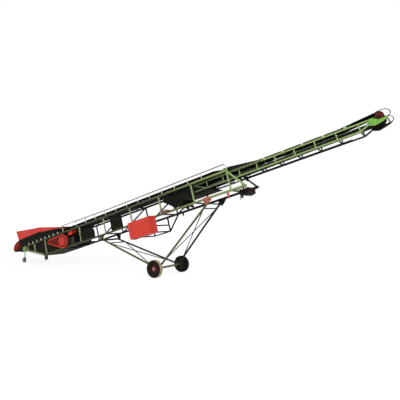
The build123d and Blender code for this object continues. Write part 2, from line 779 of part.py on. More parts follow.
def hanging_frame():
    """Square tube frame below the chords that carries the cabinet."""
    s0, s1 = CAB_S + 60, CAB_S + 770
    foot, shelf = LOW_FACE - 485, LOW_FACE - 260
    mid = foot + POST / 2
    bars = []
    for y in (-HALF, HALF):
        bars += [strut((s, y, LOW_FACE), (s, y, foot), POST, POST) for s in (s0, s1)]
        bars.append(strut((s0, y, mid), (s1, y, mid), POST, POST))
    bars.append(strut((s1, HALF, mid), (s1 + 470, HALF, LOW_FACE + 2), POST, POST))
    h = POST / 2
    for s, n in ((s0, foot), (s1, foot), (s1, shelf)):
        bars.append(block(s - h, s + h, -HALF, HALF, n, n + POST))
    bars.append(block(s0, s1, -HALF - h, -HALF + h, shelf, shelf + POST))
    bars.append(block(CAB_S + 200, CAB_S + 300, CAB_BACK, -HALF, shelf, shelf + POST))
    return joined(bars)


def winch():
    """Drum between two side plates on a foot, with a crank."""
    s, low, t = 4200.0, LOW_FACE, 12.0
    y = -OUTER
    shaft_n = low + 40
    shape = disc(s, y - 130, y - t, shaft_n, 96 - 2 * t) + disc(s, y - 90, y - 70, shaft_n, 78)
    cheek = [(s - 150, low), (s + 150, low), (s + 110, low + 95), (s - 110, low + 95)]
    for off in (136, t):
        shape += plate(cheek, y - off, t)
    shape += block(s - 150, s + 150, y - 130, y, low, low + 10)
    crank = (s - 100, y - 160, low + 130)
    shape += disc(s, y - 166, y - 130, shaft_n, 24)
    shape += strut((s, y - 160, shaft_n), crank, 12, 24)
    return shape + disc(crank[0], y - 230, y - 160, crank[2], 24)


# ---------- casters ----------

STEM_X = world(CASTER_S, 0, CASTER_N).X
BEAM_Z = world(CASTER_S, 0, CASTER_N).Z
CASTER_X = STEM_X - CASTER_TRAIL


def caster_beam():
    """Bar through the frame with a sleeve at each end."""
    h = CHORD / 2
    bar = block(CASTER_S - h, CASTER_S + h, -CASTER_Y, CASTER_Y, CASTER_N - h, CASTER_N + h)
    sleeve = Pos(STEM_X, -CASTER_Y, BEAM_Z) * Box(100, 90, 130)
    bore = rod((STEM_X, -CASTER_Y, BEAM_Z - 90), (STEM_X, -CASTER_Y, BEAM_Z + 90), STEM + 2 * FIT)
    return placed(bar) + both(sleeve) - both(bore)


def caster_fork():
    """Stem with a collar, crown plate, tapered cheeks and wheel pin."""
    y, crown = -CASTER_Y, 2 * CASTER_R + 25
    shape = rod((STEM_X, y, crown), (STEM_X, y, BEAM_Z + 110), STEM)
    shape += rod((STEM_X, y, BEAM_Z + 70), (STEM_X, y, BEAM_Z + 82), STEM + 20)
    s0, s1 = CASTER_X - 25, STEM_X + 25
    shape += Pos((s0 + s1) / 2, y, crown) * Box(s1 - s0, CASTER_W + 26, 10)
    cheek = [(s0, crown), (s1, crown), (CASTER_X + 18, CASTER_R - 20), (CASTER_X - 18, CASTER_R - 20)]
    reach = CASTER_W / 2 + 13
    for off in (-reach, reach - 8):
        shape += plate(cheek, y + off, 8)
    return shape + rod((CASTER_X, y - reach, CASTER_R), (CASTER_X, y + reach, CASTER_R), CASTER_PIN)


def caster_wheel():
    """Solid wheel on its pin."""
    y, h = -CASTER_Y, CASTER_W / 2
    shape = rod((CASTER_X, y - h, CASTER_R), (CASTER_X, y + h, CASTER_R), 2 * CASTER_R)
    bore = CASTER_PIN + 2 * WHEEL_FIT
    return shape - rod((CASTER_X, y - 2 * h, CASTER_R), (CASTER_X, y + 2 * h, CASTER_R), bore)


# ---------- wheels, axle and legs ----------

AXLE_Z = TYRE_R
FOOT = TRACK / 2 - 138
REAR_FOOT = FOOT - 75
TOP_Y = 380.0
REAR_TOP = 395.0


def tyre():
    """Tyre of the right wheel, revolved about the axle."""
    h = TYRE_W / 2
    half = [(TYRE_R, 34 - h), (TYRE_R - 10, 12 - h), (TYRE_R - 48, -h), (RIM_R + 40, -h), (RIM_R, 18 - h)]
    profile = half + [(r, -y) for r, y in reversed(half)]
    ring = revolve(Plane.XY * Polygon(*profile, align=None), axis=Axis.Y)
    return Pos(0, -TRACK / 2, AXLE_Z) * ring


def rim():
    """Dished disc with a hub tube and a flanged rim."""
    h, web, lip = TYRE_W / 2 - 18, 8, 14
    bore, hub, hub_h = AXLE_D / 2 + WHEEL_FIT, AXLE_D, 40
    profile = [(bore, -hub_h), (hub, -hub_h), (hub + 4, -web), (RIM_R - 22, -web), (RIM_R - lip, -h)]
    profile += [(RIM_R, -h), (RIM_R, h), (RIM_R - lip, h), (RIM_R - 22, web), (hub + 4, web)]
    profile += [(hub, hub_h), (bore, hub_h)]
    ring = revolve(Plane.XY * Polygon(*profile, align=None), axis=Axis.Y)
    return Pos(0, -TRACK / 2, AXLE_Z) * ring


def axle_bar():
    """Axle with end caps."""
    end = TRACK / 2 + 52
    cap = rod((0, -end - 6, AXLE_Z), (0, -end + 6, AXLE_Z), 96)
    return rod((0, -end, AXLE_Z), (0, end, AXLE_Z), AXLE_D) + both(cap)


def crossed(low, high, t_low, t_high):
    """Two crossed rods and a top rod between a leg and its twin."""
    far_low, far_high = (Vector(p.X, -p.Y, p.Z) for p in (low, high))
    a, b = between(low, high, t_low), between(low, high, t_high)
    c, d = between(far_low, far_high, t_low), between(far_low, far_high, t_high)
    return rod(a, d, BRACE_D) + rod(c, b, BRACE_D) + rod(b, d, BRACE_D + 10)


def front_legs():
    """Splayed legs from the frame's pivot down to the axle."""
    pivot = world(PIVOT_S, 0, PIVOT_N)
    high = Vector(pivot.X, -TOP_Y, pivot.Z)
    low = Vector(0, -FOOT, AXLE_Z)
    shape = both(strut(high, low, LEG, LEG)) + crossed(low, high, 0.1, 0.88)
    shape += rod((pivot.X, -HALF - 40, pivot.Z), (pivot.X, HALF + 40, pivot.Z), PIN)
    return shape + rod((pivot.X, -TOP_Y - 30, pivot.Z), (pivot.X, TOP_Y + 30, pivot.Z), PIN + 24)


def rear_legs():
    """Legs from rings on the axle up to slotted eyes on the carriage shaft."""
    head = world(CARRIAGE_S, 0, CARRIAGE_N)
    low, high = Vector(0, -REAR_FOOT, AXLE_Z), Vector(head.X, -REAR_TOP, head.Z)
    leg = strut(between(low, high, 0.012), between(low, high, 0.985), LEG, LEG)
    leg += rod((0, -REAR_FOOT - 26, AXLE_Z), (0, -REAR_FOOT + 26, AXLE_Z), AXLE_D + 34)
    s, n = CARRIAGE_S, CARRIAGE_N
    leg += placed(block(s - 62, s + 62, -REAR_TOP - 26, -REAR_TOP + 26, n - 42, n + 42))
    shape = both(leg) + crossed(low, high, 0.12, 0.93)
    shape -= rod((0, -FOOT, AXLE_Z), (0, FOOT, AXLE_Z), AXLE_D + 2 * FIT)
    h = PIN / 2 + 2
    slot = block(s - SLOT_PLAY, s + SLOT_PLAY, -HALF, HALF, n - h, n + h)
    for off in (-SLOT_PLAY, SLOT_PLAY):
        slot += disc(s + off, -HALF, HALF, n, 2 * h)
    return shape - placed(slot)


CAR_Y = OUTER + 8
CAR_T = 12.0
CAR_ROLLER = 64.0


def leg_carriage():
    """Plates with rollers under the chords, joined by the leg shaft."""
    s, n = CARRIAGE_S, LOW_FACE - CAR_ROLLER / 2 - FIT
    ends = [(s - 10, LOW_FACE + 20, 52), (s + 25, CARRIAGE_N, 56), (s + 155, LOW_FACE + 5, 58)]
    side = plate(wrap(ends, 0), -CAR_Y - CAR_T, CAR_T)
    for off in (-10, 155):
        side += disc(s + off, -CAR_Y - CAR_T / 2, -HALF + 26, n, 24)
        side += disc(s + off, -CAR_Y + 2, -HALF + 26, n, CAR_ROLLER)
    return both(side) + disc(s, -CAR_Y - CAR_T, CAR_Y + CAR_T, CARRIAGE_N, PIN)


def carriage_stop():
    """Angle under the right chord."""
    s, n = CARRIAGE_S + STOP_REACH, LOW_FACE
    shape = block(s, s + 70, -OUTER, -INNER, n - 12, n)
    return shape + block(s, s + 70, -OUTER, -OUTER + 12, n - 140, n - 12)


# ---------- all pieces, on the slope ----------

chord = top_chord()
right_frame, left_frame = side_frame(False), flip(side_frame(True))
cross = cross_members()
idler_frames, idler_rollers = main_idlers()
boom_bars, boom_rolls = boom_idlers()
ladder = boom_frame()
truss = boom_side() - ladder
bend = (BEND_ROLLER[0], BEND_ROLLER[1], -(BEND_ROLLER[2] + BELT_T))
main_loop = [TAIL_DRUM, DRIVE_DRUM, bend, FRONT_DRUM]
boom_loop = [BOOM_TAIL_DRUM, HEAD_DRUM]
bin_walls = hopper()
plates = head_plates()

SLOPED = {
    "top_chord_right": chord,
    "top_chord_left": flip(chord),
    "side_frame_right": right_frame,
    "side_frame_left": left_frame,
    "frame_cross_members": cross,
    "boom_rails": twins(boom_rail()),
    "tail_pan": tail_pan() - right_frame - left_frame - cross,
    "carriage_stops": twins(carriage_stop()),
    "tail_frame": tail_frame(),
    "tail_drum": drum(TAIL_DRUM, BELT_HALF + 12, SHAFT, INNER + 46),
    "drive_drum": drum(DRIVE_DRUM, BELT_HALF + 12, SHAFT, HALF + GUSSET),
    "front_drum": drum(FRONT_DRUM, BELT_HALF + 12, SMALL_SHAFT, OUTER + 12),
    "bend_roller": drum(BEND_ROLLER, BELT_HALF + 12, SMALL_SHAFT, INNER),
    "main_belt": belt(main_loop, BELT_N, TAIL_DRUM[0] + 590, FRONT_DRUM[0] - 460, EASE, EASE),
    "idler_frames": idler_frames,
    "idler_rollers": idler_rollers - idler_frames,
    "hopper": bin_walls,
    "hopper_skirt": hopper_skirt() - bin_walls,
    "tail_guard": tail_guard(),
    "hand_rail": hand_rail() - idler_frames,
    "drive_guard": drive_guard(),
    "drive_motor": drive_motor(),
    "gear_housing": gear_housing(),
    "side_panel": side_panel(),
    "discharge_hood": discharge_hood(),
    "front_box": front_box() - right_frame - left_frame,
    "boom_front_rollers": boom_front_rollers(),
    "hanging_frame": hanging_frame() - right_frame - left_frame,
    "control_cabinet": control_cabinet(),
    "cabinet_door": cabinet_door(),
    "winch": winch(),
    "boom_frame": ladder,
    "boom_side_right": truss,
    "boom_side_left": flip(truss),
    "boom_tail_box": boom_tail_box() - ladder,
    "boom_rear_rollers": boom_rear_rollers(),
    "boom_idler_frames": boom_bars,
    "boom_idler_rollers": boom_rolls - boom_bars,
    "boom_belt": belt(
        boom_loop, BOOM_BELT_N, B_START + 900, HEAD_DRUM[0] - 995, BOOM_EASE_TAIL, BOOM_EASE_HEAD
    ),
    "head_drum": drum(HEAD_DRUM, BELT_HALF + 4, SHAFT, HEAD_SHAFT),
    "boom_tail_drum": drum(BOOM_TAIL_DRUM, BELT_HALF + 2, BOOM_SHAFT, BOOM_IN),
    "head_plates": plates,
    "head_bearings": head_bearings() - plates - truss - flip(truss),
    "head_bars": head_bars(),
    "leg_carriage": leg_carriage(),
}

# ---------- pieces drawn in the world ----------

axle = axle_bar()
fork, wheel = caster_fork(), caster_wheel()
tyre_ring, rim_ring = tyre(), rim()
UPRIGHT = {
    "caster_beam": caster_beam(),
    "caster_fork_right": fork,
    "caster_fork_left": flip(fork),
    "caster_wheel_right": wheel,
    "caster_wheel_left": flip(wheel),
    "tyre_right": tyre_ring,
    "tyre_left": flip(tyre_ring),
    "rim_right": rim_ring,
    "rim_left": flip(rim_ring),
    "axle": axle,
    "front_legs": front_legs() - axle,
    "rear_legs": rear_legs(),
}

# The whole is centred over its box, on the floor
solids = {name: placed(shape) for name, shape in SLOPED.items()}
solids.update(UPRIGHT)
boxes = [shape.bounding_box() for shape in solids.values()]
middle = (min(b.min.X for b in boxes) + max(b.max.X for b in boxes)) / 2
place = Pos(-middle, 0, 0)
os.makedirs("parts", exist_ok=True)
for name, shape in solids.items():
    export_step(place * shape, "parts/" + name + ".step")
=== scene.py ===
import bpy
import bmesh
import json
from math import asin, cos, pi, radians, sin
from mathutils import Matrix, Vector


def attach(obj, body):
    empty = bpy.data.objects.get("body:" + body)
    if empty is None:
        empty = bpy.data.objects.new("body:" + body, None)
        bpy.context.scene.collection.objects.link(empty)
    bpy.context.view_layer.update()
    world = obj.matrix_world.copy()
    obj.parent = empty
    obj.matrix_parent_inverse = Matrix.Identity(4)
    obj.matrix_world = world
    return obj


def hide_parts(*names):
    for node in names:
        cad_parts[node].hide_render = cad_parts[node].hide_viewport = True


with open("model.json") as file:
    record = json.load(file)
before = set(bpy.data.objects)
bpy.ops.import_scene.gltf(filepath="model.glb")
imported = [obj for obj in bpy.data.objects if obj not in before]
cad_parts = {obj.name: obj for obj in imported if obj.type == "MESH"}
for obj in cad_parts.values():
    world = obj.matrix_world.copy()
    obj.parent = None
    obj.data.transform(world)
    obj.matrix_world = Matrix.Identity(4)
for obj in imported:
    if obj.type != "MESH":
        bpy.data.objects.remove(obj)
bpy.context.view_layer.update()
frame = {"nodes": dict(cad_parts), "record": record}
NODES = frame["nodes"]
scene = bpy.context.scene

# All sizes in metres. A place on the slope is (s, y, n): along it, across it and square to it,
# as in the solids. "Right" is the side of -Y, and the head lies towards +X.
SLOPE = radians(15.5)
AXLE_X, AXLE_Z = 0.6246, 0.286
DATUM = Vector((AXLE_X - 3.928, 0, 1.565))
ALONG = Vector((cos(SLOPE), 0, sin(SLOPE)))
ACROSS = Vector((0, 1, 0))
UP = Vector((-sin(SLOPE), 0, cos(SLOPE)))
OUT = -ACROSS

# Main frame, by its chord centres
HALF = 0.445
CHORD = 0.06
OUTER = HALF + CHORD / 2
DEPTH = 0.61
LOW_FACE = -DEPTH - CHORD / 2
LOW_END = 7.11
BAY = 1.32
POST = 0.04

# Boom, with its posts and its idlers counted back from the last post
B_HALF = 0.335
B_CHORD = 0.04
B_POST = 0.03
B_TOP, B_LOW = -0.07, -0.27
B_BAY = 0.573
B_LAST = 10.39
B_IDLER = 0.254

# Drive guard: the centres of its large and small round, and its outer face
DRIVE, DRIVE_TAIL = (-0.96, -0.343), (-1.716, -0.194)
GUARD_R, GUARD_SMALL_R = 0.264, 0.088
GUARD_FACE = -OUTER - 0.09

# Wheels
TRACK = 1.516
TYRE_R = 0.286
TYRE_W = 0.15
RIM_R = 0.16


def at(s, y, n):
    """World point of a place along, across and square to the slope."""
    return DATUM + ALONG * s + ACROSS * y + UP * n


# ---------- node helpers ----------

def node(tree, kind, inputs=None, **fields):
    """Adds a node, sets its fields, and fills inputs with values or links."""
    made = tree.nodes.new(kind)
    for key, value in fields.items():
        setattr(made, key, value)
    for key, value in (inputs or {}).items():
        if isinstance(value, bpy.types.NodeSocket):
            tree.links.new(value, made.inputs[key])
        else:
            made.inputs[key].default_value = value
    return made


def group(name, kind, inputs, outputs):
    """New node group with named sockets, each input with its default."""
    tree = bpy.data.node_groups.new(name, kind)
    for label, socket_type, value in inputs:
        socket = tree.interface.new_socket(label, in_out="INPUT", socket_type=socket_type)
        if value is not None:
            socket.default_value = value
    for label, socket_type in outputs:
        tree.interface.new_socket(label, in_out="OUTPUT", socket_type=socket_type)
    return tree, tree.nodes.new("NodeGroupInput").outputs, tree.nodes.new("NodeGroupOutput")


def math(tree, operation, a, b=0.0, c=0.0):
    """Value of a math node."""
    return node(tree, "ShaderNodeMath", {0: a, 1: b, 2: c}, operation=operation).outputs[0]


def vector(tree, operation, a, b=(0, 0, 0), result="Vector"):
    """Result of a vector math node."""
    return node(tree, "ShaderNodeVectorMath", {0: a, 1: b}, operation=operation).outputs[result]


def ramp(tree, value, low, high):
    """0 below low, 1 above high, smooth between."""
    return node(
        tree,
        "ShaderNodeMapRange",
        {"Value": value, "From Min": low, "From Max": high},
        interpolation_type="SMOOTHSTEP",
    ).outputs["Result"]


def step(tree, value, level, soft=0.004):
    """0 below a level and 1 above it, smooth within soft of it."""
    return ramp(tree, value, level - soft, level + soft)


def band(tree, value, low, high, soft):
    """1 between low and high, reached within soft of either."""
    over, under = ramp(tree, value, low, low + soft), ramp(tree, value, high, high - soft)
    return math(tree, "MULTIPLY", over, under)


def mix(tree, factor, a, b):
    """Colour a to b by factor."""
    return node(tree, "ShaderNodeMix", {0: factor, 6: a, 7: b}, data_type="RGBA").outputs[2]


def noise(tree, place, scale, detail):
    """Value noise on a place."""
    inputs = {"Vector": place, "Scale": scale, "Detail": detail}
    return node(tree, "ShaderNodeTexNoise", inputs).outputs["Fac"]


def object_place(tree):
    """Place in the object's own axes, which are the world's."""
    return node(tree, "ShaderNodeTexCoord").outputs["Object"]


def parts_of(tree, value):
    """The X, Y and Z of a vector."""
    return node(tree, "ShaderNodeSeparateXYZ", {0: value}).outputs


def slope_place(tree, place, direction):
    """Distance of a place from the datum along a direction."""
    return vector(tree, "DOT_PRODUCT", vector(tree, "SUBTRACT", place, DATUM), direction, "Value")


# ---------- shader groups ----------

COLOUR, VALUE = "NodeSocketColor", "NodeSocketFloat"

# Painted light and shade by facing: the near side (-Y) and faces turned up count as lit, faces
# turned down as shaded
NEAR_SIDE_LIGHT, TOP_LIGHT, UNDER_SHADE = 0.45, 0.8, 0.6
LIT_FROM, LIT_FULL = 0.1, 0.4


def painted_shade_group():
    """Painted shade mask: 1 on faces turned outwards or up, 0 on what faces the inside of the truss
    or down.
    """
    tree, given, out = group(
        "painted_shade",
        "ShaderNodeTree",
        [("Core", VALUE, 0.0), ("Bias", VALUE, 0.0)],
        [("Open", VALUE)],
    )
    y = parts_of(tree, object_place(tree))["Y"]
    turn = parts_of(tree, node(tree, "ShaderNodeNewGeometry").outputs["True Normal"])
    outward = math(tree, "MULTIPLY", math(tree, "SIGN", y), turn["Y"])
    near = math(tree, "MULTIPLY", math(tree, "LESS_THAN", y, 0.0), NEAR_SIDE_LIGHT)
    score = math(tree, "ADD", math(tree, "ADD", outward, near), given["Bias"])
    score = math(tree, "MULTIPLY_ADD", math(tree, "MAXIMUM", turn["Z"], 0.0), TOP_LIGHT, score)
    score = math(tree, "MULTIPLY_ADD", math(tree, "MINIMUM", turn["Z"], 0.0), UNDER_SHADE, score)
    # Everything within Core of the middle, such as the cross members, takes the painted shade
    beyond = math(tree, "GREATER_THAN", math(tree, "ABSOLUTE", y), given["Core"])
    is_lit = math(tree, "MULTIPLY", ramp(tree, score, LIT_FROM, LIT_FULL), beyond)
    tree.links.new(is_lit, out.inputs["Open"])
    return tree


BROAD_SCALE, BROAD_DETAIL = 2.2, 4.0
FINE_SCALE, FINE_DETAIL = 38.0, 5.0
PATCHES, CHIPS, SPECKS, GRAIN = (0.42, 0.7), (0.38, 0.6), (0.45, 0.68), (0.3, 0.8)
EDGE_RADIUS, EDGE_TURN = 0.004, (0.80, 0.99)
DUST_TOP = 0.9
ROUGH_SPREAD = 0.14
BARE_AND_HIGHLIGHT, DUST_TINT = (0.45, 0.42, 0.36, 1), (0.26, 0.22, 0.15, 1)


def weather_group():
    """Paint that fades in patches, wears and takes a painted highlight at its edges, and gathers
    dust low down.
    """
    tree, given, out = group(
        "weather",
        "ShaderNodeTree",
        [
            ("Colour", COLOUR, (0.2, 0.3, 0.1, 1)),
            ("Fade", VALUE, 0.15),
            ("Wear And Highlight", VALUE, 0.2),
            ("Dust", VALUE, 0.1),
            ("Roughness", VALUE, 0.45),
        ],
        [("Colour", COLOUR), ("Roughness", VALUE), ("Height", VALUE)],
    )
    place = object_place(tree)
    broad = noise(tree, place, BROAD_SCALE, BROAD_DETAIL)
    fine = noise(tree, place, FINE_SCALE, FINE_DETAIL)
    faded = math(tree, "MULTIPLY", ramp(tree, broad, *PATCHES), given["Fade"])
    bleached = {"Saturation": 0.75, "Value": 1.3, "Color": given["Colour"]}
    pale = node(tree, "ShaderNodeHueSaturation", bleached).outputs["Color"]
    colour = mix(tree, faded, given["Colour"], pale)
    # Edges, where the rounded normal leaves the flat one, lightened in patches: partly worn bare
    # paint, partly painted highlight
    rounded = node(tree, "ShaderNodeBevel", {"Radius": EDGE_RADIUS}, samples=4).outputs["Normal"]
    flat = node(tree, "ShaderNodeNewGeometry").outputs["Normal"]
    turn = vector(tree, "DOT_PRODUCT", rounded, flat, "Value")
    edge = math(tree, "SUBTRACT", 1.0, ramp(tree, turn, *EDGE_TURN))
    chips_and_highlight = math(tree, "MULTIPLY", edge, ramp(tree, fine, *CHIPS))
    worn_and_highlit = math(tree, "MULTIPLY", chips_and_highlight, given["Wear And Highlight"])
    colour = mix(tree, worn_and_highlit, colour, mix(tree, 0.5, pale, BARE_AND_HIGHLIGHT))
    # Dust, thicker towards the ground
    height = {"Value": parts_of(tree, place)["Z"], "From Min": DUST_TOP, "From Max": 0.0}
    low = node(tree, "ShaderNodeMapRange", height).outputs["Result"]
    specks = math(tree, "MULTIPLY", ramp(tree, fine, *SPECKS), low)
    dusty = math(tree, "MULTIPLY", specks, given["Dust"])
    rough = math(tree, "MULTIPLY_ADD", ramp(tree, fine, *GRAIN), ROUGH_SPREAD, given["Roughness"])
    tree.links.new(mix(tree, dusty, colour, DUST_TINT), out.inputs["Colour"])
    tree.links.new(rough, out.inputs["Roughness"])
    tree.links.new(fine, out.inputs["Height"])
    return tree


PAINTED_SHADE, WEATHER = painted_shade_group(), weather_group()
# Colours of painted shade on faces turned inwards or down. The near-black one also blackens a
# stretch between the chords, and the dull red is the hopper's worn inner walls, darkened further as
# painted shade
SHADE_GREEN = (0.007, 0.010, 0.005, 1)
BLACKENED_AND_SHADE = (0.010, 0.010, 0.007, 1)
SHADE_RED, WORN_AND_SHADED_RED = (0.020, 0.010, 0.007, 1), (0.070, 0.018, 0.012, 1)
BUMP_DEPTH = 0.002


# ---------- paints ----------

def rgba(colour):
    """A colour with full alpha."""
    return (*colour, 1)


def started(name, shown):
    """New material, its node tree and its place, with the colour that the viewport shows."""
    made = bpy.data.materials.new(name)
    made.use_nodes = True
    made.diffuse_color = rgba(shown)
    return made, made.node_tree, object_place(made.node_tree)


def finish_paint(
    tree, colour, fade=0.1, wear_and_highlight=0.2, dust=0.0, rough=0.5, bump=0.03, metal=0.0, specular=0.1
):
    """Weather over a colour, into the material's shader."""
    shader = tree.nodes["Principled BSDF"]
    given = {"Colour": colour, "Fade": fade, "Wear And Highlight": wear_and_highlight, "Dust": dust, "Roughness": rough}
    worn_and_highlit = node(tree, "ShaderNodeGroup", given, node_tree=WEATHER).outputs
    height = {"Height": worn_and_highlit["Height"], "Strength": bump, "Distance": BUMP_DEPTH}
    relief = node(tree, "ShaderNodeBump", height)
    tree.links.new(worn_and_highlit["Colour"], shader.inputs["Base Color"])
    tree.links.new(worn_and_highlit["Roughness"], shader.inputs["Roughness"])
    tree.links.new(relief.outputs["Normal"], shader.inputs["Normal"])
    shader.inputs["Metallic"].default_value = metal
    shader.inputs["Specular IOR Level"].default_value = specular


def paint(
    name, colour, shade=None, core=0.0, bias=0.0,
    head=None, reach=(-0.3, 3.2), posts=None, dark_stretch=None,
    fade=0.15, wear_and_highlight=0.2, dust=0.12, rough=0.45, bump=0.03, metal=0.0, specular=0.12,
):
    """Paint that turns to head within reach along X, and to the painted shade colour on faces
    turned inwards or down.

    posts holds the tail and head colours of what stands between the chords, and the stretch given
    after them the part of the slope where that is blackened.
    """
    made, tree, place = started(name, colour)

    def forward(tail_colour, head_colour):
        along = ramp(tree, parts_of(tree, place)["X"], *reach)
        return mix(tree, along, rgba(tail_colour), rgba(head_colour))

    def between_chords():
        rise = slope_place(tree, place, UP)
        return band(tree, rise, -DEPTH + CHORD / 2, -CHORD / 2, 0.005)

    face = forward(colour, head) if head else rgba(colour)
    if posts:
        face = mix(tree, between_chords(), face, forward(*posts))
    if dark_stretch:
        stretch = band(tree, slope_place(tree, place, ALONG), *dark_stretch, 0.05)
        black = math(tree, "MULTIPLY", stretch, between_chords())
        face = mix(tree, black, face, BLACKENED_AND_SHADE)
    # Painted shade: faces turned inwards or down take the shade colour
    if shade:
        painted_shade = node(tree, "ShaderNodeGroup", {"Core": core, "Bias": bias}, node_tree=PAINTED_SHADE)
        face = mix(tree, painted_shade.outputs["Open"], shade, face)
    finish_paint(tree, face, fade, wear_and_highlight, dust, rough, bump, metal, specular)
    return made


def rail_paint(name, rail, posts, level):
    """The long tube in one colour and the posts below it in another."""
    made, tree, place = started(name, posts)
    above = step(tree, slope_place(tree, place, UP), level)
    finish_paint(tree, mix(tree, above, rgba(posts), rgba(rail)), specular=0.15)
    return made


# The guard's dish, painted dark as the shade of a recess: its rounds, and the tapered strip that
# joins them, each as the distances where it starts and where it is full
DISH, SMALL_DISH = (0.222, 0.212), (0.058, 0.050)
STRIP_TAIL, STRIP_HEAD, STRIP_SIDE = (0.0, 0.01), (0.75, 0.70), (0.0, 0.008)
STRIP_HALF, STRIP_TAPER = 0.056, 0.21
RING_OUT, RING_IN = (0.170, 0.164), (0.122, 0.116)


def guard_paint(name, rim, recess_shade_colour, ring):
    """Teardrop guard: a red edge round a dish darkened as painted shade, with the raised ring red
    again.
    """
    made, tree, place = started(name, rim)
    run, rise = slope_place(tree, place, ALONG), slope_place(tree, place, UP)

    def offsets(centre):
        return math(tree, "SUBTRACT", run, centre[0]), math(tree, "SUBTRACT", rise, centre[1])

    def distance(centre):
        a, b = offsets(centre)
        return math(tree, "SQRT", math(tree, "MULTIPLY_ADD", a, a, math(tree, "MULTIPLY", b, b)))

    reach = distance(DRIVE)
    rounds = math(
        tree, "MAXIMUM", ramp(tree, reach, *DISH), ramp(tree, distance(DRIVE_TAIL), *SMALL_DISH)
    )
    line = Vector((DRIVE[0] - DRIVE_TAIL[0], DRIVE[1] - DRIVE_TAIL[1])).normalized()
    a, b = offsets(DRIVE_TAIL)
    forth = math(tree, "MULTIPLY_ADD", a, line.x, math(tree, "MULTIPLY", b, line.y))
    aside = math(tree, "MULTIPLY_ADD", a, line.y, math(tree, "MULTIPLY", b, -line.x))
    width = math(tree, "MULTIPLY_ADD", forth, STRIP_TAPER, STRIP_HALF)
    within = math(tree, "MULTIPLY", ramp(tree, forth, *STRIP_TAIL), ramp(tree, forth, *STRIP_HEAD))
    inside = math(tree, "SUBTRACT", width, math(tree, "ABSOLUTE", aside))
    strip = math(tree, "MULTIPLY", ramp(tree, inside, *STRIP_SIDE), within)
    at_face = math(tree, "LESS_THAN", parts_of(tree, place)["Y"], GUARD_FACE + 0.004)
    recess_shade = math(tree, "MULTIPLY", math(tree, "MAXIMUM", rounds, strip), at_face)
    colour = mix(tree, recess_shade, rgba(rim), rgba(recess_shade_colour))
    colour = mix(tree, ramp(tree, reach, *RING_OUT), colour, rgba(ring))
    colour = mix(tree, ramp(tree, reach, *RING_IN), colour, rgba(rim))
    finish_paint(tree, colour, specular=0.05)
    return made


def axle_paint(name, bar, cap, y):
    """Olive bar whose near cap is pale and reddish."""
    made, tree, place = started(name, bar)
    colour = mix(tree, ramp(tree, parts_of(tree, place)["Y"], y, y - 0.004), rgba(bar), rgba(cap))
    finish_paint(tree, colour, dust=0.1, specular=0.12)
    return made


def edge_paint(name, middle, edge, reach, end):
    """Belt whose long edges are dusty, as far as end along X."""
    made, tree, place = started(name, middle)
    parts = parts_of(tree, place)
    aside = ramp(tree, math(tree, "ABSOLUTE", parts["Y"]), *reach)
    dusty = math(tree, "MULTIPLY", aside, math(tree, "LESS_THAN", parts["X"], end))
    colour = mix(tree, dusty, rgba(middle), rgba(edge))
    finish_paint(tree, colour, rough=0.8, bump=0.1, specular=0.05)
    return made


def ringed(name, inner, middle, outer, radii, rough, specular, dust):
    """Colour by distance from the wheel's axis: inner, middle and outer band."""
    made, tree, place = started(name, middle)
    flat = vector(tree, "MULTIPLY", vector(tree, "SUBTRACT", place, (AXLE_X, 0, AXLE_Z)), (1, 0, 1))
    reach = vector(tree, "LENGTH", flat, result="Value")
    first, second = radii
    colour = mix(tree, step(tree, reach, first), rgba(inner), rgba(middle))
    colour = mix(tree, step(tree, reach, second, 0.006), colour, rgba(outer))
    finish_paint(tree, colour, wear_and_highlight=0.1, dust=dust, rough=rough, bump=0.08, specular=specular)
    return made


OLIVE, OLIVE_HEAD = (0.045, 0.057, 0.020), (0.19, 0.26, 0.090)
POST_COLOURS = ((0.27, 0.30, 0.18), (0.24, 0.33, 0.125))
SAGE_TAIL, SAGE, PALE = (0.10, 0.135, 0.055), (0.225, 0.31, 0.105), (0.52, 0.56, 0.44)
# The first dark colour is the dark paint, and on the discharge hood it is painted shade
DARK_AND_SHADE, RUBBER = (0.007, 0.008, 0.005), (0.006, 0.007, 0.005)
RED, BROWN = (0.58, 0.042, 0.026), (0.16, 0.045, 0.026)
MATERIALS = {
    "frame_green": paint("frame_green", OLIVE, SHADE_GREEN, 0.40, head=OLIVE_HEAD),
    "boom_green": paint(
        "boom_green", SAGE_TAIL, SHADE_GREEN, 0.30, head=SAGE, reach=(2.2, 3.6), fade=0.1
    ),
    "dark_paint": paint("dark_paint", DARK_AND_SHADE, fade=0.1, wear_and_highlight=0.05, rough=0.6, specular=0.05),
    "red_paint": paint("red_paint", RED, SHADE_RED, 0.0, 0.45, fade=0.10, rough=0.38),
    "brown_red_paint": paint("brown_red_paint", BROWN, SHADE_GREEN, 0.1, fade=0.2),
    "belt_rubber": paint(
        "belt_rubber", RUBBER, fade=0.1, wear_and_highlight=0.3, rough=0.8, bump=0.1, specular=0.05
    ),
    "roller_steel": paint("roller_steel", (0.012, 0.013, 0.009), rough=0.5, specular=0.1),
    "rail_grey": paint("rail_grey", (0.42, 0.42, 0.36), rough=0.5),
    "tyre_black": ringed(
        "tyre_black", (0.012, 0.011, 0.010), (0.012, 0.010, 0.008), (0.40, 0.33, 0.21),
        (0.20, 0.2745), rough=0.85, specular=0.05, dust=0.06,
    ),
    "caster_rubber": paint("caster_rubber", (0.008, 0.008, 0.008), rough=0.7, specular=0.08),
}
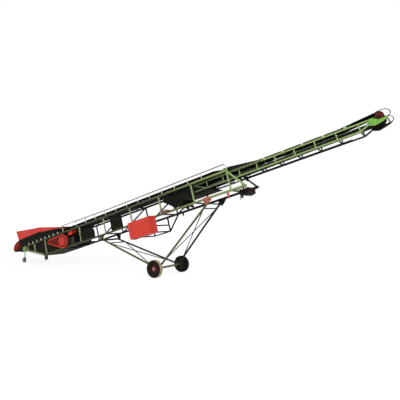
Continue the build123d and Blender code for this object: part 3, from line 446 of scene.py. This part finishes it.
OWN = {
    "side_frame_right": paint(
        "frame_sides", OLIVE, SHADE_GREEN, 0.40,
        head=OLIVE_HEAD, posts=POST_COLOURS, dark_stretch=(-1.19, -0.41),
    ),
    # The guard's second colour is painted shade, standing for a recess in its face
    "drive_guard": guard_paint(
        "guard_red", (0.52, 0.042, 0.027), (0.120, 0.012, 0.008), (0.62, 0.055, 0.035)
    ),
    "hopper": paint("hopper_red", RED, WORN_AND_SHADED_RED, 0.0, 0.45, fade=0.12, rough=0.4, dust=0.3),
    "boom_belt": edge_paint("boom_belt_rubber", RUBBER, (0.12, 0.15, 0.095), (0.232, 0.262), 6.55),
    "hand_rail": rail_paint("rail_tube", (0.050, 0.036, 0.034), (0.55, 0.57, 0.47), 0.190),
    "front_legs": paint("leg_green", (0.075, 0.105, 0.030), SHADE_GREEN, 0.34),
    "axle": axle_paint("axle_green", (0.09, 0.105, 0.055), (0.40, 0.16, 0.13), -0.795),
    "discharge_hood": paint(
        "hood_paint", (0.17, 0.23, 0.085), rgba(DARK_AND_SHADE), 0.376, fade=0.1, specular=0.08
    ),
    "idler_frames": paint("idler_pale", (0.52, 0.52, 0.45), SHADE_GREEN, 0.44, 0.6),
    "boom_idler_frames": paint("bracket_pale", PALE, SHADE_GREEN, 0.3155, 0.6),
    "head_plates": paint(
        "plate_green", (0.150, 0.335, 0.052), SHADE_GREEN, 0.30, fade=0.05, rough=0.4
    ),
    "caster_fork_right": paint("caster_green", (0.22, 0.34, 0.10), SHADE_GREEN, 0.0, 0.5),
    "head_drum": paint("drum_red", (0.11, 0.016, 0.009), fade=0.1, specular=0.05),
    "winch": paint("winch_brown", (0.15, 0.075, 0.045)),
    "leg_carriage": paint("carriage_red", (0.34, 0.10, 0.060), BLACKENED_AND_SHADE, 0.44),
    "carriage_stops": paint("stop_red", (0.44, 0.085, 0.060), BLACKENED_AND_SHADE, 0.41),
    "rim_right": ringed(
        "rim_red", (0.42, 0.17, 0.14), (0.11, 0.012, 0.008), (0.016, 0.008, 0.006),
        (0.055, 0.108), rough=0.5, specular=0.1, dust=0.1,
    ),
    # The left wheel is painted darker than the right as painted shade: a plain near-black tyre and
    # rim
    "tyre_left": paint(
        "tyre_shaded", (0.010, 0.009, 0.008), rough=0.85, bump=0.08, dust=0.04, specular=0.05
    ),
    "rim_left": paint("rim_shaded", (0.016, 0.012, 0.009)),
    "front_box": paint("box_brown", (0.016, 0.010, 0.007), rough=0.6, specular=0.05),
    "tail_pan": paint("pan_brown", (0.012, 0.008, 0.005), rough=0.6, specular=0.04),
}
OWN["side_frame_left"] = OWN["side_frame_right"]
OWN["rear_legs"] = OWN["front_legs"]
OWN["caster_fork_left"] = OWN["caster_beam"] = OWN["caster_fork_right"]
STEEL = paint("bolt_steel", (0.075, 0.075, 0.065), metal=0.3, wear_and_highlight=0.0)
BEAD_GREEN = paint("bead_green", OLIVE, SHADE_GREEN, 0.40, head=OLIVE_HEAD, wear_and_highlight=0.0)

for part in frame["record"]["subparts"]:
    mesh = NODES[part["node"]].data
    mesh.materials.clear()
    mesh.materials.append(OWN.get(part["node"], MATERIALS[part["material_slot"]]))


# ---------- mesh helpers ----------

def piece_of(name, mesh, material, body, smooth=35):
    """A mesh as a piece that rides on a body."""
    piece = bpy.data.objects.new(name, mesh)
    scene.collection.objects.link(piece)
    mesh.materials.clear()
    mesh.materials.append(material)
    mesh.shade_smooth()
    mesh.set_sharp_from_angle(angle=radians(smooth))
    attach(piece, body)
    return piece


def finished(name, work, material, body, smooth=35):
    """Turns a bmesh into a piece."""
    mesh = bpy.data.meshes.new(name)
    bmesh.ops.recalc_face_normals(work, faces=work.faces)
    work.to_mesh(mesh)
    work.free()
    return piece_of(name, mesh, material, body, smooth)


def add_bar(work, corners, thick):
    """Flat bar or plate: a closed outline, pushed out by a vector."""
    base = [work.verts.new(p) for p in corners]
    over = [work.verts.new(p + thick) for p in corners]
    work.faces.new(base)
    work.faces.new(over[::-1])
    for k in range(len(corners)):
        j = (k + 1) % len(corners)
        work.faces.new((base[k], over[k], over[j], base[j]))


def round_about(count, start=0.0):
    """Angles at even steps of a full turn."""
    return [start + 2 * pi * k / count for k in range(count)]


def add_lathe(work, centre, axis, profile, sides):
    """Ring or cap turned about an axis; the profile is (radius, distance along the axis)."""
    lie = axis.to_track_quat("Z", "X").to_matrix()
    rings = []
    for radius, off in profile:
        turns = round_about(sides) if radius else [0.0]
        ring = [Vector((cos(a) * radius, sin(a) * radius, off)) for a in turns]
        rings.append([work.verts.new(centre + lie @ p) for p in ring])
    for low, high in zip(rings, rings[1:]):
        for k in range(sides):
            j = (k + 1) % sides
            if len(low) == 1:
                work.faces.new((low[0], high[k], high[j]))
            elif len(high) == 1:
                work.faces.new((low[k], high[0], low[j]))
            else:
                work.faces.new((low[k], high[k], high[j], low[j]))


# ---------- growing trees ----------

SHAPE, PICKED = "NodeSocketGeometry", "NodeSocketMaterial"


def growing(name, sizes):
    """New growing tree with its sizes, each with a default, and its material."""
    inputs = [("Geometry", SHAPE, None)] + [(label, VALUE, value) for label, value in sizes]
    inputs.append(("Material", PICKED, None))
    return group(name, "GeometryNodeTree", inputs, [("Geometry", SHAPE)])


def tree_end(tree, out, geometry, material):
    """Closes a growing tree with its material."""
    last = node(tree, "GeometryNodeSetMaterial", {"Geometry": geometry, "Material": material})
    tree.links.new(last.outputs[0], out.inputs[0])
    return tree


def named_vector(tree, label):
    """A vector kept with each point."""
    kind = "GeometryNodeInputNamedAttribute"
    return node(tree, kind, {"Name": label}, data_type="FLOAT_VECTOR").outputs[0]


def aimed(tree, points, shape):
    """The shape on every point, standing along its 'aim' and turned along its 'run'."""
    align = "FunctionNodeAlignRotationToVector"
    stand = node(tree, align, {"Vector": named_vector(tree, "aim")}, axis="Z").outputs[0]
    along = {"Rotation": stand, "Vector": named_vector(tree, "run")}
    turn = node(tree, align, along, axis="X", pivot_axis="Z").outputs[0]
    spread = {"Points": points, "Instance": shape, "Rotation": turn}
    spread = node(tree, "GeometryNodeInstanceOnPoints", spread).outputs[0]
    return node(tree, "GeometryNodeRealizeInstances", {"Geometry": spread}).outputs[0]


def raised(tree, geometry, lift):
    """Geometry moved up by a height."""
    move = node(tree, "ShaderNodeCombineXYZ", {"Z": lift}).outputs[0]
    moved = {"Geometry": geometry, "Translation": move}
    return node(tree, "GeometryNodeTransform", moved).outputs[0]


def cylinder(tree, sides, radius, depth):
    """Upright cylinder about its middle."""
    sizes = {"Vertices": sides, "Radius": radius, "Depth": depth}
    return node(tree, "GeometryNodeMeshCylinder", sizes).outputs["Mesh"]


WASHER_RATIO = 1.45


def bolt_tree():
    """Six-sided head with its washer on every point."""
    sizes = [("Radius", 0.01), ("Height", 0.008), ("Washer", 0.002)]
    tree, given, out = growing("bolt_heads", sizes)
    head = cylinder(tree, 6, given["Radius"], given["Height"])
    wide = math(tree, "MULTIPLY", given["Radius"], WASHER_RATIO)
    washer = cylinder(tree, 16, wide, given["Washer"])
    head_lift = math(tree, "MULTIPLY_ADD", given["Height"], 0.5, given["Washer"])
    washer_lift = math(tree, "MULTIPLY", given["Washer"], 0.5)
    whole = node(tree, "GeometryNodeJoinGeometry")
    tree.links.new(raised(tree, head, head_lift), whole.inputs[0])
    tree.links.new(raised(tree, washer, washer_lift), whole.inputs[0])
    return tree_end(tree, out, aimed(tree, given["Geometry"], whole.outputs[0]), given["Material"])


def lug_tree():
    """Block on every point, as long, wide and high as given."""
    tree, given, out = growing("tread_lugs", [("Length", 0.02), ("Width", 0.03), ("Height", 0.01)])
    size = {"X": given["Length"], "Y": given["Width"], "Z": given["Height"]}
    size = node(tree, "ShaderNodeCombineXYZ", size).outputs[0]
    lug = node(tree, "GeometryNodeMeshCube", {"Size": size}).outputs["Mesh"]
    return tree_end(tree, out, aimed(tree, given["Geometry"], lug), given["Material"])


RIPPLE_SCALE = 160.0


def bead_tree():
    """Rippled weld bead along every edge."""
    sizes = [("Radius", 0.003), ("Step", 0.006), ("Ripple", 0.001), ("Seed", 3.0)]
    tree, given, out = growing("weld_beads", sizes)
    line = node(tree, "GeometryNodeMeshToCurve", {"Mesh": given["Geometry"]}).outputs[0]
    steps = {"Curve": line, "Length": given["Step"]}
    line = node(tree, "GeometryNodeResampleCurve", steps, mode="LENGTH").outputs[0]
    round_line = {"Resolution": 6, "Radius": given["Radius"]}
    round_line = node(tree, "GeometryNodeCurvePrimitiveCircle", round_line).outputs[0]
    swept = {"Curve": line, "Profile Curve": round_line, "Fill Caps": True}
    tube = node(tree, "GeometryNodeCurveToMesh", swept).outputs[0]
    place = node(tree, "GeometryNodeInputPosition").outputs[0]
    grain = {"Vector": place, "W": given["Seed"], "Scale": RIPPLE_SCALE}
    wave = node(tree, "ShaderNodeTexNoise", grain, noise_dimensions="4D").outputs["Color"]
    wave = {0: vector(tree, "SUBTRACT", wave, (0.5, 0.5, 0.5)), "Scale": given["Ripple"]}
    wave = node(tree, "ShaderNodeVectorMath", wave, operation="SCALE").outputs[0]
    tube = node(tree, "GeometryNodeSetPosition", {"Geometry": tube, "Offset": wave}).outputs[0]
    return tree_end(tree, out, tube, given["Material"])


BOLTS, TREAD_LUGS, BEADS = bolt_tree(), lug_tree(), bead_tree()
BOLT_RATIO, WASHER = 0.75, 0.002
BEAD_STEP = 0.007


def grown(name, tree, points, edges, vectors, sizes, material, body, smooth=35):
    """Piece that a tree grows on points with named vectors, or along edges."""
    seed = bpy.data.meshes.new(name + "_seed")
    seed.from_pydata(points, edges, [])
    for label, values in vectors.items():
        kept = seed.attributes.new(label, "FLOAT_VECTOR", "POINT")
        kept.data.foreach_set("vector", [c for v in values for c in v])
    host = bpy.data.objects.new(name + "_host", seed)
    scene.collection.objects.link(host)
    modifier = host.modifiers.new("grow", "NODES")
    modifier.node_group = tree
    given = {**sizes, "Material": material}
    for socket in tree.interface.items_tree:
        if socket.in_out == "INPUT" and socket.name in given:
            modifier[socket.identifier] = given[socket.name]
    graph = bpy.context.evaluated_depsgraph_get()
    mesh = bpy.data.meshes.new_from_object(host.evaluated_get(graph))
    mesh.name = name
    bpy.data.objects.remove(host)
    return piece_of(name, mesh, material, body, smooth)


# ---------- bolts ----------

def bolts(name, spots, body, radius=0.010):
    """Bolt heads at (point, direction) spots."""
    return grown(
        name, BOLTS, [p for p, aim in spots], [],
        {"aim": [aim for p, aim in spots], "run": [ALONG for spot in spots]},
        {"Radius": radius, "Height": radius * BOLT_RATIO, "Washer": WASHER},
        STEEL, body, 30,
    )


def outward(places):
    """Spots on the right side that face outwards."""
    return [(at(*place), OUT) for place in places]


def mirrored(spots):
    """The spots and their twins on the left."""
    flip = Vector((1, -1, 1))
    return spots + [(p * flip, aim * flip) for p, aim in spots]


def along_line(points, gap):
    """Places about a gap apart along a run of (s, n) points."""
    spots = []
    for (s0, n0), (s1, n1) in zip(points, points[1:]):
        run, rise = s1 - s0, n1 - n0
        count = max(1, round((run ** 2 + rise ** 2) ** 0.5 / gap))
        shares = [(k + 0.5) / count for k in range(count)]
        spots += [(s0 + run * t, n0 + rise * t) for t in shares]
    return spots


HOP_SEAM = [(-3.74, 0.36), (-2.34, 0.378), (-2.06, 0.33), (-1.18, 0.24), (-0.96, 0.185)]
HOP_BASE, HOP_FLARE, HOP_T = 0.034, 0.17, 0.005
FLARE_OUT = (OUT - UP * HOP_FLARE).normalized()


def wall(s, n):
    """Point on the outer face of the hopper's right wall."""
    return at(s, -(HALF + HOP_T * 1.5 + (n - HOP_BASE) * HOP_FLARE), n)


# Rows of the main frame that both sides have
SEAM_DROP, SEAM_GAP = 0.022, 0.14
CASTER_S, GUSSET_FACE = -3.35, -HALF - 0.008
TAIL_DRUM_S, TAIL_ARM_FACE = -3.99, -HALF + CHORD / 2
HOOD_RAIL_FACE = -0.3995
gussets = [(CASTER_S + ds, GUSSET_FACE, n) for ds in (-0.08, 0.08) for n in (-0.055, -0.13)]
tail_arms = [(TAIL_DRUM_S + ds, TAIL_ARM_FACE, 0.022) for ds in (0.28, 0.36, 0.44)]
hood_rails = [(s, HOOD_RAIL_FACE, -0.046) for s in (6.70, 6.95, 7.20, 7.45, 7.68)]
box_straps = [(LOW_END - ds, -OUTER + 0.03, LOW_FACE - 0.008) for ds in (0.31, 0.09)]
guide_shaft = (6.862, -HALF, -0.3285)
pairs = outward(gussets + tail_arms + hood_rails)
pairs += [(at(*place), -UP) for place in box_straps]
pairs += outward([guide_shaft])
pairs += [(wall(s, n - SEAM_DROP), FLARE_OUT) for s, n in along_line(HOP_SEAM, SEAM_GAP)]

# Drive guard and side panel, on the right only
GUARD_BOLTS, GUARD_BOLT_R, GUARD_BOLT_START = 7, 0.232, 0.4
PANEL_FACE = -HALF - 0.014
guard_round = [
    (DRIVE[0] + cos(a) * GUARD_BOLT_R, GUARD_FACE, DRIVE[1] + sin(a) * GUARD_BOLT_R)
    for a in round_about(GUARD_BOLTS, GUARD_BOLT_START)
]
guard_tail = [(DRIVE_TAIL[0], GUARD_FACE, DRIVE_TAIL[1] + dn) for dn in (-0.05, 0.05)]
panel = [(s, PANEL_FACE, n) for s in (1.66, 1.92, 2.18) for n in (LOW_FACE + 0.075, -0.185)]
bolts("frame_bolts", outward(guard_round + guard_tail + panel) + mirrored(pairs), "main_frame")

# Head plates with their bearings, and the boom's idlers
HEAD = (10.895, -0.035)
HEAD_FACE = -0.363
BEARING_FACE = HEAD_FACE - 0.017
IDLER_FACE, IDLER_BOLT_N = -0.347, -0.036
IDLERS_S = [B_LAST + B_IDLER - B_BAY * k for k in range(1, 8)]
plates = [(ds, HEAD_FACE, dn) for ds, dn in ((-0.27, -0.06), (-0.20, -0.13), (-0.27, -0.115))]
bearings = [(ds, BEARING_FACE, -0.075) for ds in (-0.036, 0.036)]
places = [(HEAD[0] + ds, y, HEAD[1] + dn) for ds, y, dn in plates + bearings]
places += [(s, IDLER_FACE, IDLER_BOLT_N) for s in reversed(IDLERS_S)]
bolts("boom_bolts", mirrored(outward(places)), "boom")

# Leg carriage: roller pins and the leg shaft
CARRIAGE_S, CARRIAGE_FACE = 5.68, -OUTER - 0.020
roller_pins = [(CARRIAGE_S + ds, CARRIAGE_FACE, LOW_FACE - 0.0325) for ds in (-0.01, 0.155)]
leg_shaft = (CARRIAGE_S + 0.025, CARRIAGE_FACE, -DEPTH - 0.14)
bolts("carriage_bolts", mirrored(outward(roller_pins + [leg_shaft])), "leg_carriage", 0.014)


# ---------- weld beads at the posts ----------

def square_loop(s, y, n, side):
    """Four corners round a post, in order."""
    h = side / 2
    return [at(s + ds * h, y + dy * h, n) for ds, dy in ((-1, -1), (1, -1), (1, 1), (-1, 1))]


def beads(name, posts, half, levels, side, radius, material, body):
    """Weld bead round each post at each level, on both sides."""
    loops = [square_loop(s, y, n, side) for s in posts for y in (-half, half) for n in levels]
    points = [p for loop in loops for p in loop]
    edges = [(4 * k + i, 4 * k + (i + 1) % 4) for k in range(len(loops)) for i in range(4)]
    sizes = {"Radius": radius, "Step": BEAD_STEP}
    return grown(name, BEADS, points, edges, {}, sizes, material, body)


beads(
    "frame_welds", [-2.11] + [BAY * i for i in range(6)], HALF, (-CHORD / 2, -DEPTH + CHORD / 2),
    POST, 0.004, BEAD_GREEN, "main_frame",
)
beads(
    "boom_welds", [B_LAST - B_BAY * k for k in range(9)], B_HALF,
    (B_TOP - B_CHORD / 2, B_LOW + B_CHORD / 2),
    B_POST, 0.003, MATERIALS["boom_green"], "boom",
)

# ---------- wheels ----------

TYRE_SIDES = 96
LUGS, LUG_L, LUG_W, LUG_H = 44, 0.020, 0.026, 0.010
LUG_SINK, LUG_IN, LUG_LEAN, LUG_STAGGER = 0.0125, 0.0165, 0.9, 0.25
NUTS, NUT_R, NUT_RING_R, RIM_FACE = 5, 0.011, 0.094, 0.008
VALVE_R, VALVE_TURN = 0.128, radians(228)
CASTER_N, CASTER_Y, CASTER_R = -0.095, 0.537, 0.095
CASTER_TRAIL, CASTER_HALF_W = 0.045, 0.025
GROOVE_FLOOR = 0.277


def spoke(a):
    """Direction away from the axle at an angle."""
    return Vector((cos(a), 0, sin(a)))


def tyre_profile():
    """Half section (radius, distance from the middle), from the bead to the middle of the tread."""
    side = [
        (RIM_R + 0.001, 0.057), (RIM_R + 0.010, 0.064), (RIM_R + 0.020, 0.0655),
        (0.194, 0.0700), (0.197, 0.0735), (0.212, 0.0745), (0.230, 0.0748), (0.245, 0.0740),
        (0.258, 0.0705), (0.268, 0.0650), (0.2755, 0.0590), (0.2800, 0.0540), (0.2835, 0.0480),
    ]
    crown = []
    for middle, outer, inner in ((0.041, 0.2848, 0.2855), (0.017, 0.2858, 0.2860)):
        crown += [(outer, middle + 0.0035), (GROOVE_FLOOR, middle + 0.0020)]
        crown += [(GROOVE_FLOOR, middle - 0.0020), (inner, middle - 0.0035)]
    return side + crown


def ribbed_tyre(name, hub, rubber):
    """Tyre with its grooved tread, in place of the plain one."""
    half = tyre_profile()
    work = bmesh.new()
    section = half + [(r, -y) for r, y in reversed(half)] + [half[0]]
    add_lathe(work, hub, ACROSS, section, TYRE_SIDES)
    bmesh.ops.remove_doubles(work, verts=work.verts, dist=1e-6)
    tyre = finished("tyre_ribbed_" + name, work, rubber, "wheel_" + name, 40)
    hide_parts("tyre_" + name)


def shoulder_lugs(name, hub, rubber):
    """Two staggered rows of blocks round the tyre's shoulders."""
    points, aims, runs = [], [], []
    for k in range(LUGS):
        for flank in (-1, 1):
            a = 2 * pi * (k + LUG_STAGGER * flank) / LUGS
            aside = ACROSS * flank
            shoulder = spoke(a) * (TYRE_R - LUG_SINK) + aside * (TYRE_W / 2 - LUG_IN)
            points.append(hub + shoulder)
            aims.append((spoke(a) + aside * LUG_LEAN).normalized())
            runs.append(Vector((-sin(a), 0, cos(a))))
    grown(
        "tyre_shoulder_lugs_" + name, TREAD_LUGS, points, [], {"aim": aims, "run": runs},
        {"Length": LUG_L, "Width": LUG_W, "Height": LUG_H},
        rubber, "wheel_" + name,
    )


def wheel_nuts(name, hub, outside):
    """Nuts on the rim's disc."""
    disc = hub + outside * RIM_FACE
    spots = [(disc + spoke(a) * NUT_RING_R, outside) for a in round_about(NUTS)]
    bolts("wheel_nuts_" + name, spots, "wheel_" + name, NUT_R)


def tyre_valve(name, hub, outside):
    """Air valve on its stem in the rim."""
    work = bmesh.new()
    away = spoke(VALVE_TURN)
    stem = [(0, 0), (0.0055, 0), (0.0055, 0.012), (0.004, 0.014), (0.004, 0.026)]
    cap = [(0.005, 0.027), (0.005, 0.036), (0, 0.037)]
    foot = hub + away * VALVE_R + outside * RIM_FACE
    add_lathe(work, foot, (outside - away * 0.5).normalized(), stem + cap, 14)
    finished("tyre_valve_" + name, work, STEEL, "wheel_" + name)


def caster_hub(name, outside):
    """Raised hub and ring on both faces of the caster wheel."""
    stem = at(CASTER_S, 0, CASTER_N)
    centre = Vector((stem.x - CASTER_TRAIL, 0, CASTER_R)) + outside * CASTER_Y
    ring = [(0.011, 0.0002), (0.034, 0.0002), (0.034, 0.004)]
    ring += [(0.056, 0.004), (0.060, 0.0002), (0.011, 0.0002)]
    work = bmesh.new()
    for face in (-ACROSS, ACROSS):
        add_lathe(work, centre + face * CASTER_HALF_W, face, ring, 40)
    grey = MATERIALS["rail_grey"]
    finished("caster_hub_" + name, work, grey, "caster_wheel_" + name)


for name, outside in (("right", OUT), ("left", ACROSS)):
    hub = Vector((AXLE_X, 0, AXLE_Z)) + outside * (TRACK / 2)
    rubber = OWN.get("tyre_" + name, MATERIALS["tyre_black"])
    ribbed_tyre(name, hub, rubber)
    shoulder_lugs(name, hub, rubber)
    wheel_nuts(name, hub, outside)
    tyre_valve(name, hub, outside)
    caster_hub(name, outside)

# ---------- cabinet ----------

CAB_S, CAB_L, CAB_N, CAB_H = 2.73, 0.96, -0.60, 0.56
CAB_BACK = -OUTER - 0.014
CAB_FRONT = CAB_BACK - 0.30
DOOR_FACE = CAB_FRONT - 0.019

# Quarter-turn locks on the door's free edge
LOCK = [(0, 0), (0.017, 0), (0.017, 0.004), (0.013, 0.008)]
LOCK += [(0.006, 0.008), (0.006, 0.005), (0, 0.005)]
LOCK_IN, LOCK_DOWN = 0.05, 0.14
work = bmesh.new()
for n in (CAB_N - LOCK_DOWN, CAB_N - CAB_H + LOCK_DOWN):
    add_lathe(work, at(CAB_S + CAB_L - LOCK_IN, DOOR_FACE, n), OUT, LOCK, 28)
finished("door_locks", work, MATERIALS["dark_paint"], "cabinet_door")

# Folded flange along the cabinet's top edge
RAIN_OUT, RAIN_END = 0.004, 0.006
rain = [(CAB_FRONT - RAIN_OUT, CAB_N), (CAB_FRONT - RAIN_OUT, CAB_N + 0.010)]
rain += [(CAB_BACK + 0.012, CAB_N + 0.014), (CAB_BACK + 0.012, CAB_N)]
work = bmesh.new()
add_bar(work, [at(CAB_S - RAIN_END, y, n) for y, n in rain], ALONG * (CAB_L + 2 * RAIN_END))
finished("cabinet_rain_edge", work, MATERIALS["red_paint"], "main_frame")

# Glands under the cabinet's tail end
GLAND = [(0, 0), (0.021, 0), (0.021, 0.006), (0.017, 0.008)]
GLAND += [(0.017, 0.020), (0.012, 0.032), (0.008, 0.034), (0, 0.034)]
work = bmesh.new()
for ds in (0.10, 0.17):
    add_lathe(work, at(CAB_S + ds, CAB_FRONT + 0.08, CAB_N - CAB_H), -UP, GLAND, 24)
finished("cabinet_glands", work, MATERIALS["dark_paint"], "main_frame")

# ---------- boom and head ----------

# Pull rod under the boom's cross bars, with the saddles that hold it
ROD_S, ROD_L, ROD_Y, ROD_R = 6.68, 3.42, 0.07, 0.011
BAR_FACE = B_LOW - B_POST / 2
SADDLE_HALF, SADDLE_W, SADDLE_H = 0.022, 0.024, 0.021
work = bmesh.new()
rod = [(0, 0), (ROD_R, 0), (ROD_R, ROD_L), (0, ROD_L)]
add_lathe(work, at(ROD_S, ROD_Y, BAR_FACE - 0.012), ALONG, rod, 16)
saddle = [(-SADDLE_HALF, 0), (SADDLE_HALF, 0), (SADDLE_HALF, -SADDLE_H), (-SADDLE_HALF, -SADDLE_H)]
for k in range(1, 7):
    s = B_LAST - B_BAY * k - SADDLE_W / 2
    add_bar(work, [at(s, ROD_Y + dy, BAR_FACE + dn) for dy, dn in saddle], ALONG * SADDLE_W)
finished("boom_pull_rod", work, MATERIALS["dark_paint"], "boom")

# Saddles that hold the idlers on the boom's upper chords
CHORD_FACE = B_TOP + B_CHORD / 2
saddle = [(-0.042, 0), (0.042, 0), (0.022, 0.036), (-0.022, 0.036)]
width = 0.032
work = bmesh.new()
for s in IDLERS_S:
    for y in (-B_HALF - 0.015, B_HALF + 0.015 - width):
        add_bar(work, [at(s + ds, y, CHORD_FACE + dn) for ds, dn in saddle], ACROSS * width)
finished("boom_idler_saddles", work, OWN["boom_idler_frames"], "boom")

# Knobs at the ends of the head's guard bars
KNOB_HALF = 0.014
knob = [(0, 0), (0.014, 0), (0.016, 0.004), (0.016, 0.024), (0.014, 0.028), (0, 0.028)]
work = bmesh.new()
for y in (HEAD_FACE - 0.009, -HEAD_FACE + 0.009):
    add_lathe(work, at(HEAD[0] + 0.205, y - KNOB_HALF, HEAD[1] - 0.092), ACROSS, knob, 20)
finished("head_bar_eyes", work, MATERIALS["dark_paint"], "boom")


# ---------- drive ----------

def guard_outline(inset, count):
    """Points round the teardrop, in from its edge by a margin."""
    line = Vector((DRIVE[0] - DRIVE_TAIL[0], DRIVE[1] - DRIVE_TAIL[1]))
    turn = line.angle_signed(Vector((1, 0)))
    lean = asin((GUARD_R - GUARD_SMALL_R) / line.length)
    quarter = pi / 2 + lean
    points = []
    for (s, n), radius, first, last in (
        (DRIVE, GUARD_R - inset, -quarter, quarter),
        (DRIVE_TAIL, GUARD_SMALL_R - inset, quarter, 2 * pi - quarter),
    ):
        for k in range(count + 1):
            a = turn + first + (last - first) * k / count
            points.append(at(s + cos(a) * radius, GUARD_FACE - 0.002, n + sin(a) * radius))
    return points


# Rolled edge round the guard's face
ring = guard_outline(0.008, 40)
grown(
    "guard_edge", BEADS, ring, [(k, (k + 1) % len(ring)) for k in range(len(ring))], {},
    {"Radius": 0.007, "Step": 0.02, "Ripple": 0.0}, OWN["drive_guard"], "main_frame",
)

# Rings of the grille over the motor's fan
GRILLE = at(DRIVE[0] + 0.36, -0.190, -0.08)
WIRE = 0.003
work = bmesh.new()
for radius in (0.030, 0.046, 0.062, 0.078):
    low, high = radius - WIRE, radius + WIRE
    wire = [(low, 0.0), (high, 0.0), (high, WIRE), (low, WIRE), (low, 0.0)]
    add_lathe(work, GRILLE, OUT, wire, 40)
finished("motor_grille", work, MATERIALS["dark_paint"], "main_frame")

# ---------- light, floor and camera ----------

SKY = 0.42
WHITE = (1, 1, 1, 1)
FLOOR_SIZE = 80
FLOOR_GREY = 0.8
GLOW = 1.15
NEAR_WHITE, WHITE_FROM, WHITE_FULL = 0.74, 8.0, 18.0


def seen_rays(tree):
    """1 for rays that see the background straight, in gloss or through glass."""
    rays = node(tree, "ShaderNodeLightPath").outputs
    seen = math(tree, "MAXIMUM", rays["Is Camera Ray"], rays["Is Glossy Ray"])
    return math(tree, "MAXIMUM", seen, rays["Is Transmission Ray"])


scene.view_settings.view_transform = "Standard"
world = bpy.data.worlds.new("studio")
scene.world = world
world.use_nodes = True
tree = world.node_tree
back = tree.nodes["Background"]
back.inputs["Color"].default_value = WHITE
tree.links.new(math(tree, "MULTIPLY_ADD", seen_rays(tree), 1 - SKY, SKY), back.inputs["Strength"])


def area(name, place, aim, size, power):
    """Soft area lamp aimed at a point."""
    data = bpy.data.lights.new(name, "AREA")
    data.shape = "DISK"
    data.size = size
    data.energy = power
    lamp = bpy.data.objects.new(name, data)
    lamp.location = place
    lamp.rotation_euler = (Vector(aim) - Vector(place)).to_track_quat("-Z", "Y").to_euler()
    scene.collection.objects.link(lamp)


area("key", (13, -11, 11), aim=(0, 0, 2), size=7, power=1900)
area("fill", (-9, -13, 6), aim=(-2, 0, 1.5), size=6, power=750)
area("back", (2, 14, 9), aim=(0, 0, 2), size=7, power=700)

# The floor keeps a faint shadow near the object and passes into the white beyond
work = bmesh.new()
bmesh.ops.create_grid(work, x_segments=1, y_segments=1, size=FLOOR_SIZE)
mesh = bpy.data.meshes.new("floor")
work.to_mesh(mesh)
work.free()
floor = bpy.data.objects.new("floor", mesh)
scene.collection.objects.link(floor)
pale = bpy.data.materials.new("floor_pale")
pale.use_nodes = True
mesh.materials.append(pale)
tree = pale.node_tree
base = tree.nodes["Principled BSDF"]
base.inputs["Base Color"].default_value = (FLOOR_GREY, FLOOR_GREY, FLOOR_GREY, 1)
base.inputs["Roughness"].default_value = 0.9
base.inputs["Specular IOR Level"].default_value = 0.1
glow = node(tree, "ShaderNodeEmission", {"Color": WHITE, "Strength": GLOW})
reach = vector(tree, "LENGTH", object_place(tree), result="Value")
far = ramp(tree, reach, WHITE_FROM, WHITE_FULL)
far = math(tree, "MULTIPLY_ADD", far, 1 - NEAR_WHITE, NEAR_WHITE)
share = math(tree, "MULTIPLY", far, seen_rays(tree))
blend = node(tree, "ShaderNodeMixShader", {0: share, 1: base.outputs[0], 2: glow.outputs[0]})
tree.links.new(blend.outputs[0], tree.nodes["Material Output"].inputs["Surface"])

CAMERA = (AXLE_X + 7.847, -10.583, 2.035)
YAW, PITCH = radians(31.98), radians(2.094)
FOCAL_PX, PICTURE_PX, SENSOR = 388.14, 400, 36
camera = bpy.data.objects.new("camera", bpy.data.cameras.new("camera"))
camera.data.lens = FOCAL_PX / PICTURE_PX * SENSOR
camera.data.sensor_width = SENSOR
camera.data.clip_end = 200
camera.location = CAMERA
ahead = Vector((-sin(YAW) * cos(PITCH), cos(YAW) * cos(PITCH), sin(PITCH)))
camera.rotation_euler = ahead.to_track_quat("-Z", "Y").to_euler()
scene.collection.objects.link(camera)
scene.camera = camera
